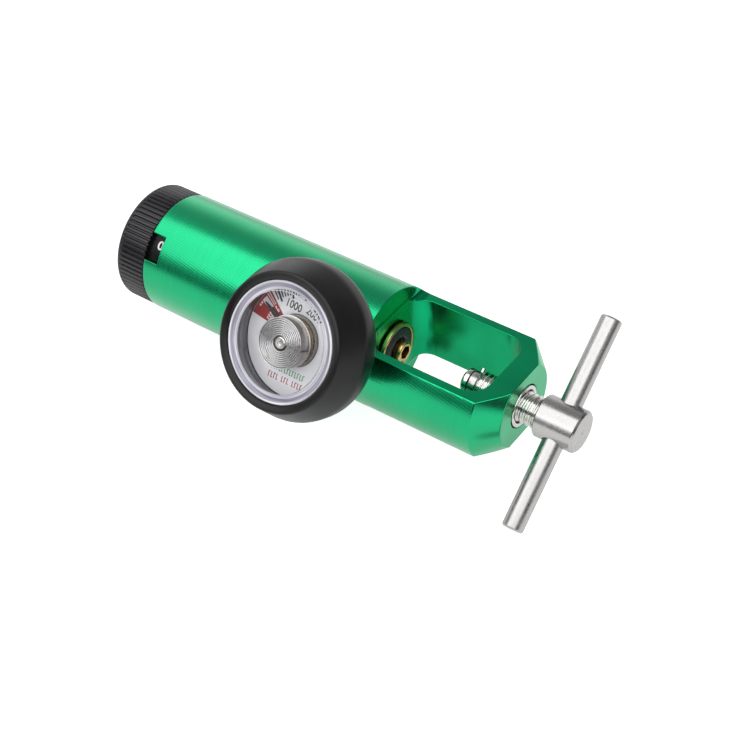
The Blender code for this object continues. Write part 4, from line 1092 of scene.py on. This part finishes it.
def build_outlet():
    """Hose barb with its hexagon and bore."""
    profile = [(38.5, 1.6, 0.2)]
    for ridge in range(3):
        top = 38.5 - 4.0 * ridge
        profile += [(top, 2.5, 0.25), (top - 3.5, 3.35, 0.1), (top - 4.0, 3.35, 0.12)]
    profile += [(26.5, 2.5, 0.2), (21.5, 2.5, 0.2), (21.5, 3.4), (10.0, 3.4), (10.0, 1.6)]
    barb = turned("hose_barb", profile, BRASS, OUTLET, "body", ("outlet_barb",), 96)
    carve(barb, rod_shape(18.2, 22.5, 6.4, steps=6), OUTLET, 'UNION')
    carve(barb, rod_shape(17.0, 23.5, 1.6, steps=96), OUTLET)
    soften_edges(barb, 0.2, 35.0)


def dress_nodes():
    """Better materials on the CAD nodes that stay in sight or inside."""
    slots = {row["node"]: row["material_slot"] for row in frame["record"]["subparts"]}
    for name, obj in frame["nodes"].items():
        for place in obj.material_slots:
            place.link = 'OBJECT'
            place.material = SLOT_LOOKS[slots[name]]


# Studio

def build_floor():
    """Pale floor that shows white to the camera and keeps the object's shadow."""
    shape = bmesh.new()
    bmesh.ops.create_grid(shape, x_segments=4, y_segments=4, size=3000.0)
    floor = place_mesh("studio_floor", shape, [], WORLD, None)
    floor.location.z = FLOOR_UP * MM
    made, shader = new_surface("studio_paper", (0.8, 0.8, 0.8), 0.9)
    shader.inputs["Specular IOR Level"].default_value = 0.1
    fibres = noise(made, stretched(made, 400.0))
    two_tone(made, shader, fibres, 0.3, 0.7, ((0.79, 0.79, 0.79), (0.81, 0.81, 0.81)))
    path = new_node(made, "LightPath")
    glow = new_node(made, "Emission")
    seen = combine(made, path.outputs["Is Camera Ray"], FLOOR_SEEN, 'MULTIPLY')
    mirrored = combine(made, path.outputs["Is Glossy Ray"], path.outputs["Is Transmission Ray"],
                       'MAXIMUM')
    link(made, combine(made, seen, combine(made, mirrored, FLOOR_MIRRORED, 'MULTIPLY')),
         glow.inputs["Strength"])
    total = new_node(made, "AddShader")
    link(made, shader.outputs[0], total.inputs[0])
    link(made, glow.outputs[0], total.inputs[1])
    link(made, total.outputs[0], node_of(made, 'OUTPUT_MATERIAL').inputs["Surface"])
    floor.data.materials.append(made)


def build_world():
    """White to the camera. Elsewhere a plain studio room, darker to the front and the right.

    Each row of ROOM_LIGHT is one soft bright patch: azimuth and height in degrees, sharpness
    and brightness.
    """
    world = bpy.data.worlds.new("studio")
    bpy.context.scene.world = world
    world.use_nodes = True
    world.node_tree.nodes.clear()
    output = new_node(world, "OutputWorld")
    white = new_node(world, "Background")
    white.inputs["Color"].default_value = (1.0, 1.0, 1.0, 1.0)
    room = new_node(world, "Background")
    room.inputs["Color"].default_value = (1.0, 1.0, 1.01, 1.0)
    total = 0.0
    for azimuth, height, sharpness, level in ROOM_LIGHT:
        turn, rise = math.radians(azimuth), math.radians(height)
        place = new_node(world, "TexCoord")
        towards = new_node(world, "VectorMath")
        towards.operation = 'DOT_PRODUCT'
        towards.inputs[1].default_value = (math.cos(rise) * math.cos(turn),
                                           math.cos(rise) * math.sin(turn), math.sin(rise))
        link(world, place.outputs["Generated"], towards.inputs[0])
        facing = combine(world, towards.outputs["Value"], 0.0, 'MAXIMUM')
        patch = combine(world, facing, sharpness, 'POWER')
        total = combine(world, combine(world, patch, level, 'MULTIPLY'), total)
    link(world, total, room.inputs["Strength"])
    show_by_ray(world, "Is Camera Ray", room, white, output)


def build_lamp():
    """One wide lamp aimed at the part, whose face shows at BANK_LEVEL."""
    lamp = bpy.data.lights.new("softbox_bank", 'AREA')
    lamp.shape = 'RECTANGLE'
    lamp.size, lamp.size_y = BANK_SIZE
    lamp.energy = BANK_LEVEL * math.pi * BANK_SIZE[0] * BANK_SIZE[1]
    holder = put_in_scene("softbox_bank", lamp)
    holder.location = BANK_PLACE
    holder.rotation_euler = (-Vector(BANK_PLACE)).to_track_quat('-Z', 'Y').to_euler()


def build_camera():
    """The photograph's camera."""
    lens = bpy.data.cameras.new("photo_camera")
    lens.sensor_width = 36.0
    lens.lens = LENS
    lens.clip_start = 0.01
    holder = put_in_scene("photo_camera", lens)
    turn = Matrix((CAMERA_RIGHT, CAMERA_UP, CAMERA_BACK)).transposed().to_4x4()
    holder.matrix_world = Matrix.Translation(CAMERA_PLACE) @ turn
    bpy.context.scene.camera = holder


dress_nodes()
build_body()
build_inlet()
build_clamp()
build_knob()
build_case()
build_dial()
build_movement()
build_outlet()
build_floor()
build_world()
build_lamp()
build_camera()
bpy.context.scene.view_settings.view_transform = 'Standard'
